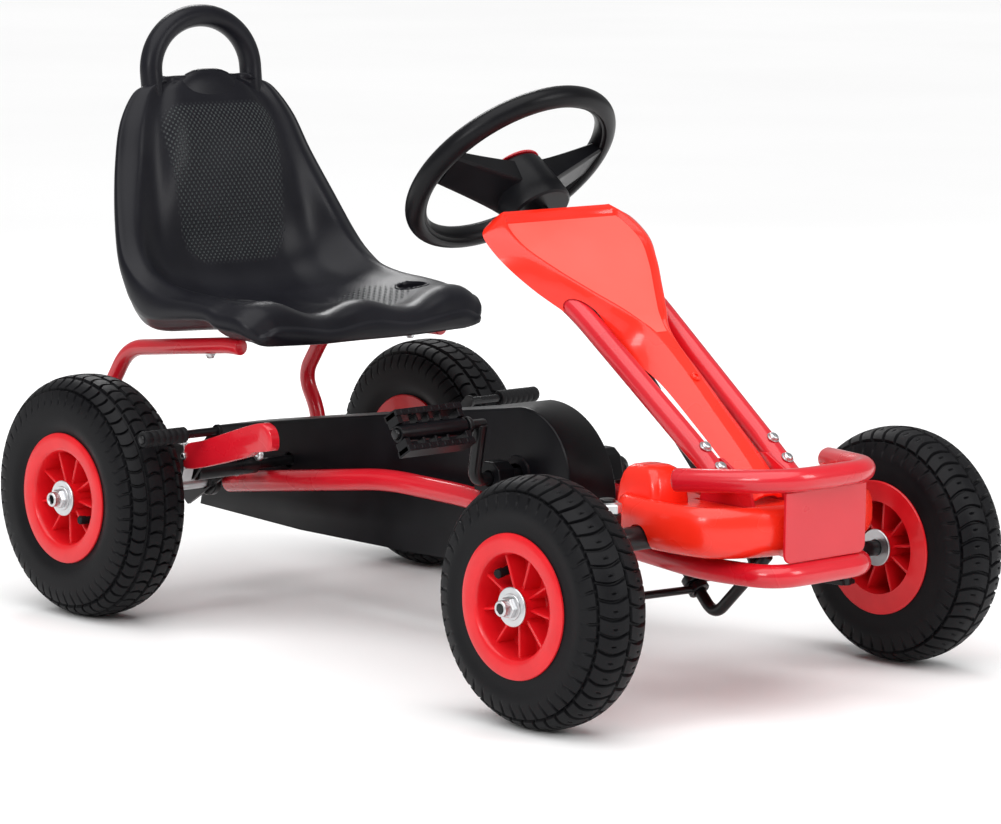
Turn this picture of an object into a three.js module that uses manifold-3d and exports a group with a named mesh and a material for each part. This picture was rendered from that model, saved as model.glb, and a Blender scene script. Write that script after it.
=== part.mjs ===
// Pedal go kart: a child's four-wheeled chain-driven kart with a bucket seat.
// Millimetres. +X is forward, +Y is the driver's left, +Z is up.
// The origin is on the ground, midway between the rear tyre's back and the front bumper.
import * as THREE from 'three';
import { mergeVertices } from 'three/addons/utils/BufferGeometryUtils.js';
import Module from 'manifold-3d';

const wasm = await Module();
wasm.setup();

// ---- driving dimensions -------------------------------------------------------------
const OVERALL_LENGTH = 992;
const WHEELBASE = 717;
const REAR_TYRE = { radius: 130, halfWidth: 41, centreY: 244 };
const FRONT_TYRE = { radius: 121.4, halfWidth: 37, centreY: 252 };
const RIM = { flangeRadius: 69, seatRadius: 52, flangeOut: 38.6, discRadius: 50, hubRadius: 17 };
const AXLE_RADIUS = 8;
const GAP = 0.35; // left between pieces that touch

const REAR_X = -OVERALL_LENGTH / 2 + REAR_TYRE.radius;
const FRONT_X = REAR_X + WHEELBASE;
const REAR_Z = REAR_TYRE.radius;
const FRONT_Z = FRONT_TYRE.radius;

const FRAME_TUBE = 11.5; // radius of the main frame tube
const RAIL_Y = 75; // half the distance between the frame's two rails
const BUMPER_X = OVERALL_LENGTH / 2 - FRAME_TUBE;
const LOWER_Z = 141; // heights of the two bumper tubes
const UPPER_Z = 234;
const KINGPIN_Y = 168;
const BEAM_Z = 169;
const BRACKET_Y = 31.5; // planes of the two flats under the column tubes
const SEAT_ARM_Y = 142;

const CRANK = { x: 92, z: 190, radius: 60, rod: 7, armY: 106, pedalY: 174 };
const CHAIN_Y = -15; // plane of the chain
const CHAIN_PITCH = 12.7;
const CRANK_TEETH = 25;
const AXLE_TEETH = 15;
const GUARD = { nearY: -45, farY: 15, wall: 3 };

const STEER_TOP = new THREE.Vector3(27.5, 0, 497); // centre of the steering wheel's rim
const STEER_SLOPE = Math.PI / 4; // the column falls forward at 45 degrees
const STEER_LENGTH = 515;
const STEER_CRANK = 82.7;
const BRAKE = { x: -275, z: 159.5, barX: -231, barZ: 209, armY: 192 };

// ---- colours ------------------------------------------------------------------------
const paint = (color, roughness, metalness) =>
  new THREE.MeshStandardMaterial({ color, roughness, metalness });
const CRIMSON = () => paint(0xd72b3c, 0.35, 0.0);
const ORANGE_RED = () => paint(0xff3a28, 0.25, 0.0);
const RIM_RED = () => paint(0xe02232, 0.4, 0.0);
const BLACK_PLASTIC = () => paint(0x232427, 0.5, 0.0);
const BLACK_STEEL = () => paint(0x18181a, 0.4, 0.3);
const TYRE_BLACK = () => paint(0x151516, 0.85, 0.0);
const ZINC = () => paint(0xc8cacc, 0.3, 0.9);

// ---- geometry helpers ---------------------------------------------------------------
const V = (x, y, z) => new THREE.Vector3(x, y, z);
const mirrorY = (p) => V(p.x, -p.y, p.z);

function closedMesh(geometry) {
  const bare = geometry.clone();
  bare.deleteAttribute('normal');
  bare.deleteAttribute('uv');
  return mergeVertices(bare, 1e-3);
}

// A manifold solid from a closed three.js geometry, turned outward if it was inside out.
function solid(geometry) {
  const merged = closedMesh(geometry);
  const position = Float32Array.from(merged.attributes.position.array);
  const at = (i) => V(...position.subarray(3 * i, 3 * i + 3));
  const faces = [];
  let volume = 0;
  const index = merged.index.array;
  for (let i = 0; i < index.length; i += 3) {
    const [a, b, c] = [index[i], index[i + 1], index[i + 2]];
    if (a === b || b === c || a === c) continue;
    faces.push([a, b, c]);
    volume += at(a).dot(at(b).cross(at(c)));
  }
  const triVerts = Uint32Array.from(faces.flatMap(([a, b, c]) => (volume > 0 ? [a, b, c] : [a, c, b])));
  return new wasm.Manifold(new wasm.Mesh({ numProp: 3, vertProperties: position, triVerts }));
}

function geometryOf(manifold) {
  const mesh = manifold.getMesh();
  const geometry = new THREE.BufferGeometry();
  geometry.setAttribute('position', new THREE.BufferAttribute(mesh.vertProperties, 3));
  geometry.setIndex(new THREE.BufferAttribute(mesh.triVerts, 1));
  return geometry;
}

const join = (first, ...rest) => rest.reduce((sum, next) => sum.add(next), first);
const cut = (first, ...rest) => rest.reduce((sum, next) => sum.subtract(next), first);

function piece(name, shape, material) {
  const mesh = new THREE.Mesh(geometryOf(shape), material);
  mesh.name = name;
  return mesh;
}

// A path through given corners, with each inner corner rounded by an arc-like bend.
class BentPath extends THREE.Curve {
  constructor(corners, bend = 30, stepsPerBend = 4) {
    super();
    this.points = [corners[0].clone()];
    for (let i = 1; i < corners.length - 1; i++) {
      const before = corners[i - 1].clone().sub(corners[i]);
      const after = corners[i + 1].clone().sub(corners[i]);
      const reach = Math.min(bend, 0.45 * before.length(), 0.45 * after.length());
      const start = corners[i].clone().addScaledVector(before.normalize(), reach);
      const end = corners[i].clone().addScaledVector(after.normalize(), reach);
      const arc = new THREE.QuadraticBezierCurve3(start, corners[i], end);
      const turn = before.angleTo(after.negate());
      const steps = Math.max(1, Math.round((stepsPerBend * turn) / (Math.PI / 2)));
      this.points.push(...arc.getPoints(steps));
    }
    this.points.push(corners.at(-1).clone());
    this.steps = this.points.length - 1;
  }
  getPoint(t) {
    const place = Math.min(t * this.steps, this.steps - 1e-9);
    const i = Math.floor(place);
    return this.points[i].clone().lerp(this.points[i + 1], place - i);
  }
  getPointAt(t) {
    return this.getPoint(t);
  }
  getTangentAt(t) {
    const i = Math.round(t * this.steps);
    const before = this.points[Math.max(i - 1, 0)];
    const after = this.points[Math.min(i + 1, this.steps)];
    const here = this.points[i];
    const into = here.clone().sub(before).normalize();
    const out = after.clone().sub(here).normalize();
    return into.add(out).normalize();
  }
}

function roundSection(radius, sides) {
  const shape = new THREE.Shape();
  for (let i = 0; i < sides; i++) {
    const angle = ((i + 0.5) * 2 * Math.PI) / sides;
    const [x, y] = [radius * Math.cos(angle), radius * Math.sin(angle)];
    if (i === 0) shape.moveTo(x, y);
    else shape.lineTo(x, y);
  }
  shape.closePath();
  return shape;
}

// A solid tube or rod through corner points.
function tube(corners, radius, { bend = 30, sides = 10, stepsPerBend = 4 } = {}) {
  const path = new BentPath(corners, bend, stepsPerBend);
  const options = { steps: path.steps, extrudePath: path, curveSegments: 1 };
  return solid(new THREE.ExtrudeGeometry(roundSection(radius, sides), options));
}

// A cylinder between two points.
const rod = (from, to, radius, sides = 12) => tube([from, to], radius, { sides });

// A cutter for a round hole: it runs past both of the points by the overrun.
function bore(from, to, radius, sides = 14, overrun = 5) {
  const step = to.clone().sub(from).setLength(overrun);
  return rod(from.clone().sub(step), to.clone().add(step), radius, sides);
}

// A block from its lowest and highest corners.
function block(low, high) {
  const size = high.clone().sub(low);
  const box = new THREE.BoxGeometry(size.x, size.y, size.z);
  box.translate(...low.clone().add(high).multiplyScalar(0.5).toArray());
  return solid(box);
}

// A flat plate: an outline in the (x, z) plane, from y = y0 to y = y1.
function plateXZ(outline, y0, y1) {
  const shape = new THREE.Shape(outline.map(([x, z]) => new THREE.Vector2(x, z)));
  const geometry = new THREE.ExtrudeGeometry(shape, { depth: y1 - y0, bevelEnabled: false, steps: 1 });
  geometry.rotateX(Math.PI / 2);
  geometry.translate(0, y1, 0);
  return solid(geometry);
}

// A flat plate: an outline in the (x, y) plane, from z = z0 to z = z1.
function plateXY(outline, z0, z1) {
  const shape = new THREE.Shape(outline.map(([x, y]) => new THREE.Vector2(x, y)));
  const geometry = new THREE.ExtrudeGeometry(shape, { depth: z1 - z0, bevelEnabled: false, steps: 1 });
  geometry.translate(0, 0, z0);
  return solid(geometry);
}

// Points of an arc in a plane, as [u, v] pairs, angles in degrees.
function arc(cu, cv, radius, from, to, steps) {
  return Array.from({ length: steps + 1 }, (_, i) => {
    const angle = ((from + ((to - from) * i) / steps) * Math.PI) / 180;
    return [cu + radius * Math.cos(angle), cv + radius * Math.sin(angle)];
  });
}

// A ring or disc turned about the Y axis. The profile is a closed loop of [radius, y] pairs.
// Half a step of turn puts a flat, and not an edge, on the ground.
function turned(profile, segments) {
  const loop = [...profile, profile[0]].map(([r, y]) => new THREE.Vector2(r, y));
  const geometry = new THREE.LatheGeometry(loop, segments, Math.PI / segments);
  return solid(geometry);
}

// Closed solid through a list of closed rings that all have the same number of points.
function loft(rings) {
  const count = rings[0].length;
  const points = rings.flat();
  const faces = [];
  for (let i = 0; i + 1 < rings.length; i++) {
    for (let j = 0; j < count; j++) {
      const [a, b] = [i * count + j, i * count + ((j + 1) % count)];
      faces.push(a, b, b + count, a, b + count, a + count);
    }
  }
  const last = (rings.length - 1) * count;
  for (let j = 1; j + 1 < count; j++) faces.push(0, j + 1, j, last, last + j, last + j + 1);
  const geometry = new THREE.BufferGeometry().setFromPoints(points);
  geometry.setIndex(faces);
  return solid(geometry);
}

// ---- frame --------------------------------------------------------------------------
const kart = new THREE.Group();

const railAt = (x, z) => V(x, -RAIL_Y, z);
const rightRail = [
  railAt(-340, 130.5), railAt(-77.5, 166.5), railAt(50, 165),
  V(385, -72, 138), V(BUMPER_X - 6, -68, LOWER_Z),
];

function mainFrameTube() {
  const corners = [...rightRail, ...rightRail.map(mirrorY).reverse()];
  return tube(corners, FRAME_TUBE, { bend: 34, stepsPerBend: 5 });
}

function upperBumper() {
  const side = [V(380, -107.5, 227.5), V(BUMPER_X, -62, UPPER_Z)];
  return tube([...side, ...side.map(mirrorY).reverse()], FRAME_TUBE, { bend: 40, stepsPerBend: 6 });
}

function bumperPlate() {
  const low = V(BUMPER_X - 8, -56, LOWER_Z + FRAME_TUBE + GAP);
  return block(low, V(BUMPER_X - 4, 56, UPPER_Z - FRAME_TUBE - GAP));
}

// Cross-beam that carries both kingpins and the lower end of the steering shaft.
function frontBeam() {
  const beam = rod(V(FRONT_X, -KINGPIN_Y, BEAM_Z), V(FRONT_X, KINGPIN_Y, BEAM_Z), 12, 12);
  const housings = [-1, 1].map((side) =>
    rod(V(FRONT_X, side * KINGPIN_Y, 142), V(FRONT_X, side * KINGPIN_Y, 198), 14, 14));
  const bores = [-1, 1].map((side) =>
    bore(V(FRONT_X, side * KINGPIN_Y, 142), V(FRONT_X, side * KINGPIN_Y, 198), AXLE_RADIUS + 0.6));
  const sleeve = rod(steerAt(440), steerAt(492), 13, 12);
  return cut(join(beam, ...housings, sleeve), ...bores, bore(steerAt(440), steerAt(492), 6.8));
}

// Seat frame: two arms under the seat, legs bowed to the rear, and a cross tube behind the guard.
function seatFrame() {
  const side = [
    [-256, 297], [-434, 274], [-474, 216], [-450, 178], [-446, 140],
  ].map(([x, z]) => V(x, -SEAT_ARM_Y, z));
  return tube([...side, ...side.map(mirrorY).reverse()], 8.8, { bend: 26, stepsPerBend: 4 });
}

// Black steel plates that carry the rear axle's bearings between the rails and the seat frame.
function axlePlate(side) {
  const outline = [
    [-318, 146], [-325, 160], [-400, 123], [-435.5, 150], [-435.5, 128], [-410, 112], [-394, 100],
  ];
  const y = side * (RAIL_Y + FRAME_TUBE + GAP);
  const plate = plateXZ(outline, Math.min(y, y + side * 4), Math.max(y, y + side * 4));
  return cut(plate, bore(V(REAR_X, y - 5, REAR_Z), V(REAR_X, y + 5, REAR_Z), AXLE_RADIUS + 1.2));
}

function axleBearing(side) {
  const inner = V(REAR_X, side * (RAIL_Y + 3), REAR_Z);
  const outer = V(REAR_X, side * (RAIL_Y + FRAME_TUBE), REAR_Z);
  return cut(rod(inner, outer, 17, 16), bore(inner, outer, AXLE_RADIUS + 0.6));
}

// Steel flats that hold the foot of each column tube above the frame.
function columnBracket(side) {
  const outline = [[338, 181.5], [420, 181.5], [407, 220], [370, 240], [352, 238]];
  return plateXZ(outline, side * BRACKET_Y - 2, side * BRACKET_Y + 2);
}

// Centre line of a column tube, from its foot to its end below the front panel.
const columnLine = (side) => [V(392, side * 46, 216), V(190, side * 53, 367), V(112, side * 60, 414)];

function columnTube(side) {
  const holes = columnBolts(side).map(([from, to]) => bore(from, to, 3.5, 10, 4));
  return cut(tube(columnLine(side), FRAME_TUBE, { bend: 20 }), ...holes);
}

// Start and end of the two bolts square to each column tube, near its foot.
function columnBolts(side) {
  const [foot, elbow] = columnLine(side);
  const along = elbow.clone().sub(foot).normalize();
  const square = V(0, 1, 0).cross(along).normalize();
  return [18, 45].map((distance) => {
    const centre = foot.clone().addScaledVector(along, distance);
    const reach = FRAME_TUBE + GAP;
    return [centre.clone().addScaledVector(square, reach), centre.clone().addScaledVector(square, -5)];
  });
}

// Bush across the column tubes near the steering wheel.
function upperSteeringBush() {
  const strap = rod(V(127, -46.5, 396), V(127, 46.5, 396), 8, 8);
  const sleeve = rod(steerAt(122), steerAt(162), 17, 14);
  return cut(join(strap, sleeve), bore(steerAt(122), steerAt(162), 11.8));
}

// ---- bodywork -----------------------------------------------------------------------
// The nose tray: a shallow D-shaped plastic bowl over the front frame, open underneath, with a
// sunk floor and two raised blocks beside the column tubes.
const trayRing = (inset, z) => {
  const half = [
    [276 + inset, 0], [276 + inset, 40], [284 + inset, 62 - inset * 0.4],
    [299 + inset * 0.8, 101 - inset * 0.7], [320 + inset * 0.4, 123 - inset],
    [360, 128 - inset], [402, 126 - inset], [434 - inset * 0.6, 115 - inset * 0.8],
    [456 - inset * 0.9, 86 - inset * 0.6], [469 - inset, 50 - inset * 0.3], [474 - inset, 20],
  ];
  return [...half.map(([x, y]) => V(x, -y, z)), ...half.slice(1).reverse().map(([x, y]) => V(x, y, z))];
};

function noseTray() {
  const ring = (low, high, grow) => [
    V(292 + grow, low, 0), V(350 - grow * 1.6, low, 0), V(350 - grow * 1.6, high, 0), V(292 + grow, high, 0),
  ];
  const raised = (side) => loft([
    ring(side * 76 - 26, side * 76 + 24, 0).map((p) => p.setZ(196)),
    ring(side * 76 - 20, side * 76 + 19, 9).map((p) => p.setZ(234)),
  ]);
  const outside = loft([
    trayRing(24, 155), trayRing(6, 163), trayRing(0, 172), trayRing(0, 195), trayRing(7, 206),
  ]);
  const inside = loft([trayRing(31, 154), trayRing(10, 164), trayRing(4, 173), trayRing(4, 190)]);
  const overRails = tube([...rightRail, ...rightRail.map(mirrorY).reverse()], FRAME_TUBE + 1.4, { bend: 34 });
  const sunk = loft([trayRing(26, 196), trayRing(17, 207)]);
  return cut(
    join(cut(outside, inside, sunk), raised(-1), raised(1)),
    rod(V(FRONT_X, -150, BEAM_Z), V(FRONT_X, 150, BEAM_Z), 13.5, 12),
    rod(steerAt(300), steerAt(520), 16, 12),
    bracketSlot(-1), bracketSlot(1),
    columnEnvelope(-1), columnEnvelope(1), overRails,
  );
}

const bracketSlot = (side) => block(V(334, side * BRACKET_Y - 3.5, 186), V(428, side * BRACKET_Y + 3.5, 260));

// Room that the bodywork leaves round a column tube.
function columnEnvelope(side) {
  return tube(columnLine(side), FRAME_TUBE + 1.2, { bend: 20, sides: 12 });
}

// The front panel: a sloping face with turned-down sides that narrows into a spine.
const PANEL = [
  // x, z of the face; half width of the face; depth and flare of the sides
  { x: 97, z: 461, w: 74, d: 14, flare: 12 },
  { x: 112, z: 450, w: 86, d: 13, flare: 22 },
  { x: 140, z: 431, w: 88, d: 18, flare: 18 },
  { x: 170, z: 410, w: 72, d: 26, flare: 14 },
  { x: 200, z: 389, w: 50, d: 30, flare: 13 },
  { x: 228, z: 370, w: 29, d: 33, flare: 14 },
  { x: 252, z: 350, w: 12, d: 30, flare: 19 },
  { x: 290, z: 318, w: 8, d: 18, flare: 21 },
  { x: 335, z: 278, w: 8, d: 13, flare: 20 },
  { x: 374, z: 244, w: 9, d: 11, flare: 18 },
];

function frontPanel() {
  const wall = 3;
  const down = V(-Math.sin(0.61), 0, -Math.cos(0.61));
  const rings = PANEL.map(({ x, z, w, d, flare }) => {
    const at = (y, depth) => V(x, y, z).addScaledVector(down, depth);
    return [
      at(-w - flare, d), at(-w, 0), at(w, 0), at(w + flare, d),
      at(w + flare - wall, d), at(w - wall * 0.8, wall), at(-w + wall * 0.8, wall), at(-w - flare + wall, d),
    ];
  });
  return cut(loft(rings), columnEnvelope(-1), columnEnvelope(1));
}

// Chain guard: a long box with a round front, open underneath.
function guardOutline(inset, frontX, frontZ, frontRadius, frontEnd) {
  return [
    [-432 + inset, 91], [-414 + inset, 172 - inset], [-396, 181 - inset], [-366, 189 - inset],
    [0, 246 - inset],
    ...arc(frontX, frontZ, frontRadius - inset, 92, frontEnd, 9),
    [0, 88], [-90, 86], [-255, 85],
  ];
}

function chainGuard() {
  const { nearY, farY, wall } = GUARD;
  const ring = (outline, y) => outline.map(([x, z]) => V(x, y, z));
  const shell = (inset, y0, y1) => loft([
    ring(guardOutline(inset, 98, 189, 71, -72), y0), ring(guardOutline(inset, 82, 166, 95, -52), y1),
  ]);
  const hole = (x, z, radius) => rod(V(x, -80, z), V(x, 60, z), radius, 14);
  const openBottom = block(V(-420, nearY + wall, 70), V(60, farY - wall, 96));
  return cut(
    shell(0, nearY, farY),
    shell(wall, nearY + wall, farY - wall),
    openBottom,
    hole(CRANK.x, CRANK.z, 12), hole(REAR_X, REAR_Z, 13), hole(BRAKE.x, BRAKE.z, 8.5),
  );
}

// ---- seat ---------------------------------------------------------------------------
// Sections from the top of the back to the front lip, as [x, z] of four lines: the middle of the
// face that the rider touches, the middle of the back, the side wings' upper rim and lower rim.
const SEAT = [
  { face: [-474, 572], back: [-488, 566], rim: [-474, 572], low: [-488, 566], w: 46 },
  { face: [-466, 552], back: [-488, 546], rim: [-475, 553], low: [-487, 549], w: 92 },
  { face: [-450, 520], back: [-478, 516], rim: [-466, 520], low: [-481, 516], w: 122 },
  { face: [-438, 478], back: [-467, 474], rim: [-453, 479], low: [-470, 473], w: 138 },
  { face: [-432, 430], back: [-460, 424], rim: [-431, 433], low: [-450, 421], w: 155 },
  { face: [-427, 388], back: [-456, 374], rim: [-406, 391], low: [-429, 371], w: 168 },
  { face: [-412, 352], back: [-445, 330], rim: [-382, 373], low: [-416, 340], w: 172 },
  { face: [-382, 332], back: [-410, 305], rim: [-350, 361], low: [-403, 315], w: 174 },
  { face: [-340, 325], back: [-350, 300], rim: [-318, 355], low: [-376, 299.5], w: 175 },
  { face: [-295, 325], back: [-295, 303], rim: [-282, 350], low: [-300, 304.5], w: 175 },
  { face: [-250, 331], back: [-248, 306], rim: [-244, 345], low: [-248, 308.5], w: 174.5 },
  { face: [-214, 338], back: [-214, 302], rim: [-212, 342], low: [-214, 303.5], w: 172.5 },
  { face: [-194, 332], back: [-198, 297], rim: [-194, 333], low: [-198, 299.5], w: 169 },
  { face: [-186, 318], back: [-190, 297], rim: [-186, 318], low: [-190, 300], w: 164 },
];
const THIGHS = { from: 8, to: 12, depth: 5 }; // stations of the two hollows, and half their depth

function seatShell() {
  const across = [-1, -0.85, -0.6, -0.3, 0, 0.3, 0.6, 0.85, 1];
  const rings = SEAT.map(({ face, back, rim, low, w }, i) => {
    const outward = (v) => Math.max(0, (Math.abs(v) - 0.4) / 0.6) ** 1.5;
    const between = (middle, side, v) => middle.map((value, k) => value + (side[k] - value) * outward(v));
    const hollowed = i >= THIGHS.from && i <= THIGHS.to;
    const hollow = (v) => (hollowed && Math.abs(v) < 1 ? THIGHS.depth * (Math.cos(2 * Math.PI * v) - 1) : 0);
    const upper = across.map((v) => {
      const [x, z] = between(face, rim, v);
      return V(x, w * v * 0.975, z + hollow(v));
    });
    const lower = across.map((v) => {
      const [x, z] = between(back, low, v);
      return V(x, w * v * 0.97, z);
    }).reverse();
    const edge = (side) => V((rim[0] + low[0]) / 2, w * side, (rim[1] + low[1]) / 2);
    return [...upper, edge(1), ...lower, edge(-1)];
  });
  const handleSide = [
    V(-480, -70, 530), V(-485.5, -70, 582), V(-488.5, -56, 615), V(-490, -24, 631),
  ];
  const handle = [...handleSide, ...handleSide.map(mirrorY).reverse()];
  const slots = [-1, 1].map((side) => {
    const hole = new THREE.CylinderGeometry(1, 1, 120, 12).rotateX(Math.PI / 2).scale(19, 9, 1);
    return solid(hole.translate(-266, side * 123, 340));
  });
  return cut(join(loft(rings), tube(handle, 12.5, { bend: 45, stepsPerBend: 5 })), ...slots);
}

// ---- wheels -------------------------------------------------------------------------
function tyre({ radius, halfWidth }) {
  const half = [
    [54, 34.8], [70, 35], [88, halfWidth], [radius - 18, halfWidth - 3.5], [radius - 5, halfWidth - 14],
    [radius, halfWidth - 26],
  ];
  const inside = [[radius - 9, halfWidth - 27], [92, halfWidth - 8], [58, 28]];
  const outer = [...half, ...half.map(([r, y]) => [r, -y]).reverse()];
  const inner = [...inside.map(([r, y]) => [r, -y]).reverse(), ...inside];
  return flatTurned([...outer, ...inner], 24);
}

// Turned so that the flats, and not the edges, lie at the stated radius.
const flatTurned = (profile, segments) =>
  turned(profile.map(([r, y]) => [r / Math.cos(Math.PI / segments), y]), segments);

function rim() {
  const { flangeRadius: flange, seatRadius: seat, flangeOut: out, discRadius, hubRadius: hub } = RIM;
  const hole = AXLE_RADIUS + 0.5;
  const profile = [
    [hole, -36], [hub, -36], [hub, 5], [discRadius - 2, 5], [discRadius - 2, -out], [flange, -out],
    [flange, -out + 3], [seat, -out + 3], [seat, out - 3], [flange, out - 3], [flange, out],
    [discRadius, out], [discRadius - 2, 9], [hub, 9], [hub, 36], [hole, 36],
  ];
  const ribs = Array.from({ length: 9 }, (_, k) => {
    const rib = new THREE.BoxGeometry(32, 22, 3).translate(33, 19, 0);
    return solid(rib.rotateY(((32 + 40 * k) * Math.PI) / 180));
  });
  return join(flatTurned(profile, 18), ...ribs);
}

const wheelNut = () => {
  const washer = flatTurned([[6.4, 36.4], [19, 36.4], [19, 39], [6.4, 39]], 12);
  const nut = flatTurned([[6.4, 38.5], [10.5, 38.5], [10.5, 47], [6.4, 47]], 6);
  return join(washer, nut);
};

function placeWheel(parent, label, spec, x, side) {
  const wheel = new THREE.Group();
  wheel.position.set(x, side * spec.centreY, spec.radius);
  if (side < 0) wheel.rotation.x = Math.PI;
  wheel.add(piece(`tyre_${label}`, tyre(spec), TYRE_BLACK()));
  wheel.add(piece(`rim_${label}`, rim(), RIM_RED()));
  wheel.add(piece(`wheel_nut_${label}`, wheelNut(), ZINC()));
  parent.add(wheel);
}

// Axle from y0 to y1 with a thinner threaded end beyond each shoulder that is stated.
function rearAxle() {
  const shoulder = REAR_TYRE.centreY + 36;
  const end = REAR_TYRE.centreY + 53;
  return join(
    rod(V(REAR_X, -shoulder, REAR_Z), V(REAR_X, shoulder, REAR_Z), AXLE_RADIUS),
    rod(V(REAR_X, -end, REAR_Z), V(REAR_X, end, REAR_Z), 6),
  );
}

// ---- chain drive --------------------------------------------------------------------
const pitchRadius = (teeth) => CHAIN_PITCH / (2 * Math.sin(Math.PI / teeth));

function sprocket(teeth, hubRadius, boreRadius) {
  const pitch = pitchRadius(teeth);
  const outline = [];
  for (let k = 0; k < teeth; k++) {
    [[-0.34, -3.6], [0, 2.4], [0.34, -3.6]].forEach(([turn, lift]) => {
      const angle = ((k + turn) * 2 * Math.PI) / teeth;
      outline.push([(pitch + lift) * Math.cos(angle), (pitch + lift) * Math.sin(angle)]);
    });
  }
  const hub = rod(V(0, -9, 0), V(0, 9, 0), hubRadius, 14);
  return cut(join(plateXZ(outline, -1.2, 1.2), hub), bore(V(0, -9, 0), V(0, 9, 0), boreRadius));
}

// Outline of a belt round the two sprockets, at a distance from the chain's pitch line.
function beltOutline(offset) {
  const [front, rear] = [pitchRadius(CRANK_TEETH), pitchRadius(AXLE_TEETH)].map((r) => r + offset);
  const [dx, dz] = [CRANK.x - REAR_X, CRANK.z - REAR_Z];
  const tilt = (Math.atan2(dz, dx) * 180) / Math.PI;
  const spread = (Math.acos((front - rear) / Math.hypot(dx, dz)) * 180) / Math.PI;
  return [
    ...arc(CRANK.x, CRANK.z, front, tilt - spread, tilt + spread, 12),
    ...arc(REAR_X, REAR_Z, rear, tilt + spread, tilt + 360 - spread, 9),
  ];
}

// The roller chain as its two rows of side plates, with rollers along the straight runs.
function chain() {
  const row = (y) => cut(plateXZ(beltOutline(4), y, y + 1.6), plateXZ(beltOutline(-4), y - 1, y + 3));
  const line = beltOutline(0);
  const [top, bottom] = [[line[12], line[13]], [line.at(-1), line[0]]];
  const rollers = [top, bottom].flatMap(([from, to]) => [0.2, 0.4, 0.6, 0.8].map((t) => {
    const [x, z] = [from[0] + (to[0] - from[0]) * t, from[1] + (to[1] - from[1]) * t];
    return rod(V(x, CHAIN_Y - 3, z), V(x, CHAIN_Y + 3, z), 3, 6);
  }));
  return join(row(CHAIN_Y - 4), row(CHAIN_Y + 2.4), ...rollers);
}

// One-piece crank: spindle, arm, axle, arm and spindle bent from one rod.
const CRANK_ANGLE = (80 * Math.PI) / 180;
const crankEnd = (side) => V(
  CRANK.x - side * CRANK.radius * Math.cos(CRANK_ANGLE), side * CRANK.armY,
  CRANK.z - side * CRANK.radius * Math.sin(CRANK_ANGLE),
);

function crank() {
  const arm = (side) => [crankEnd(side), V(CRANK.x, side * CRANK.armY, CRANK.z)];
  const [right, left] = [arm(-1), arm(1)];
  const bends = { bend: 12, stepsPerBend: 3, sides: 12 };
  const bent = tube([right[0], right[1], left[1], left[0]], CRANK.rod, bends);
  const spindles = [-1, 1].map((side) => {
    const from = crankEnd(side);
    return rod(V(from.x, side * (CRANK.armY - 5), from.z), V(from.x, side * (CRANK.pedalY + 48), from.z), 5, 12);
  });
  return join(bent, ...spindles);
}

function crankBearing(side) {
  const y0 = Math.min(side * 64, side * 86);
  const outline = [[70, 175.8], [114, 174.4], [108, 200], [99, 207], [85, 207], [76, 200]];
  return cut(
    plateXZ(outline, y0, y0 + 22),
    bore(V(CRANK.x, y0, CRANK.z), V(CRANK.x, y0 + 22, CRANK.z), CRANK.rod + 0.6),
  );
}

const PEDAL = { length: 88, width: 46, thickness: 19, tilt: 1.0 };

// A pedal: a barrel round its spindle between two treads and two end bars.
function pedal() {
  const { length, width, thickness } = PEDAL;
  const body = block(V(-width / 2, -length / 2, -thickness / 2), V(width / 2, length / 2, thickness / 2));
  const windows = [-1, 1].map((side) =>
    block(V(side * 12 - 4.5, 9 - length / 2, -thickness), V(side * 12 + 4.5, length / 2 - 9, thickness)));
  return cut(body, ...windows, bore(V(0, -length / 2, 0), V(0, length / 2, 0), 5.7));
}

// ---- steering -----------------------------------------------------------------------
function steerAt(distance) {
  return STEER_TOP.clone().add(V(Math.cos(STEER_SLOPE), 0, -Math.sin(STEER_SLOPE)).multiplyScalar(distance));
}
const armDirection = V(-Math.sin(STEER_SLOPE), 0, -Math.cos(STEER_SLOPE));
const steerPin = steerAt(STEER_LENGTH).addScaledVector(armDirection, STEER_CRANK);
const pinAt = (distance) => steerPin.clone().add(steerAt(-distance)).sub(STEER_TOP);

// Column, lower rod and the bent crank whose pin works the two tie rods.
function steeringShaft() {
  const column = rod(steerAt(20), steerAt(300), 11, 12);
  const bent = tube([steerAt(290), steerAt(STEER_LENGTH), steerPin, pinAt(58)], 6, { bend: 16, sides: 10 });
  const tail = rod(steerAt(STEER_LENGTH), steerAt(STEER_LENGTH).addScaledVector(armDirection, -18), 6, 10);
  return join(column, bent, tail);
}

// The wheel in its own frame: Z runs up the column to the driver, X to the top of the ring.
function steeringWheel() {
  const ring = new THREE.TorusGeometry(109, 12.5, 8, 24);
  const spoke = (side) => loft([
    [V(-8, side * 101, -9), V(34, side * 98, -9), V(34, side * 98, 4), V(-8, side * 101, 4)],
    [V(-30, side * 14, -42), V(22, side * 14, -42), V(22, side * 14, -9), V(-30, side * 14, -9)],
  ]);
  const hub = turnedUp([[0, -62], [26, -62], [28, -38], [31, -36], [31, -4], [0, -4]], 18);
  const wheel = join(solid(ring), spoke(-1), spoke(1), hub);
  return cut(wheel, rod(V(0, 0, -70), V(0, 0, -19), 11.7, 14));
}

const steeringCap = () => turnedUp([[0, -3.65], [32.5, -3.65], [32.5, -1], [28, 2], [0, 3]], 20);

// A solid turned about the Z axis.
function turnedUp(profile, segments) {
  const geometry = new THREE.LatheGeometry(profile.map(([r, z]) => new THREE.Vector2(r, z)), segments);
  return solid(geometry.rotateX(Math.PI / 2));
}

// Stub axle and kingpin in one, with the steering arm that points to the rear.
const ARM_END = { x: FRONT_X - 53, z: 92 };

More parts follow.
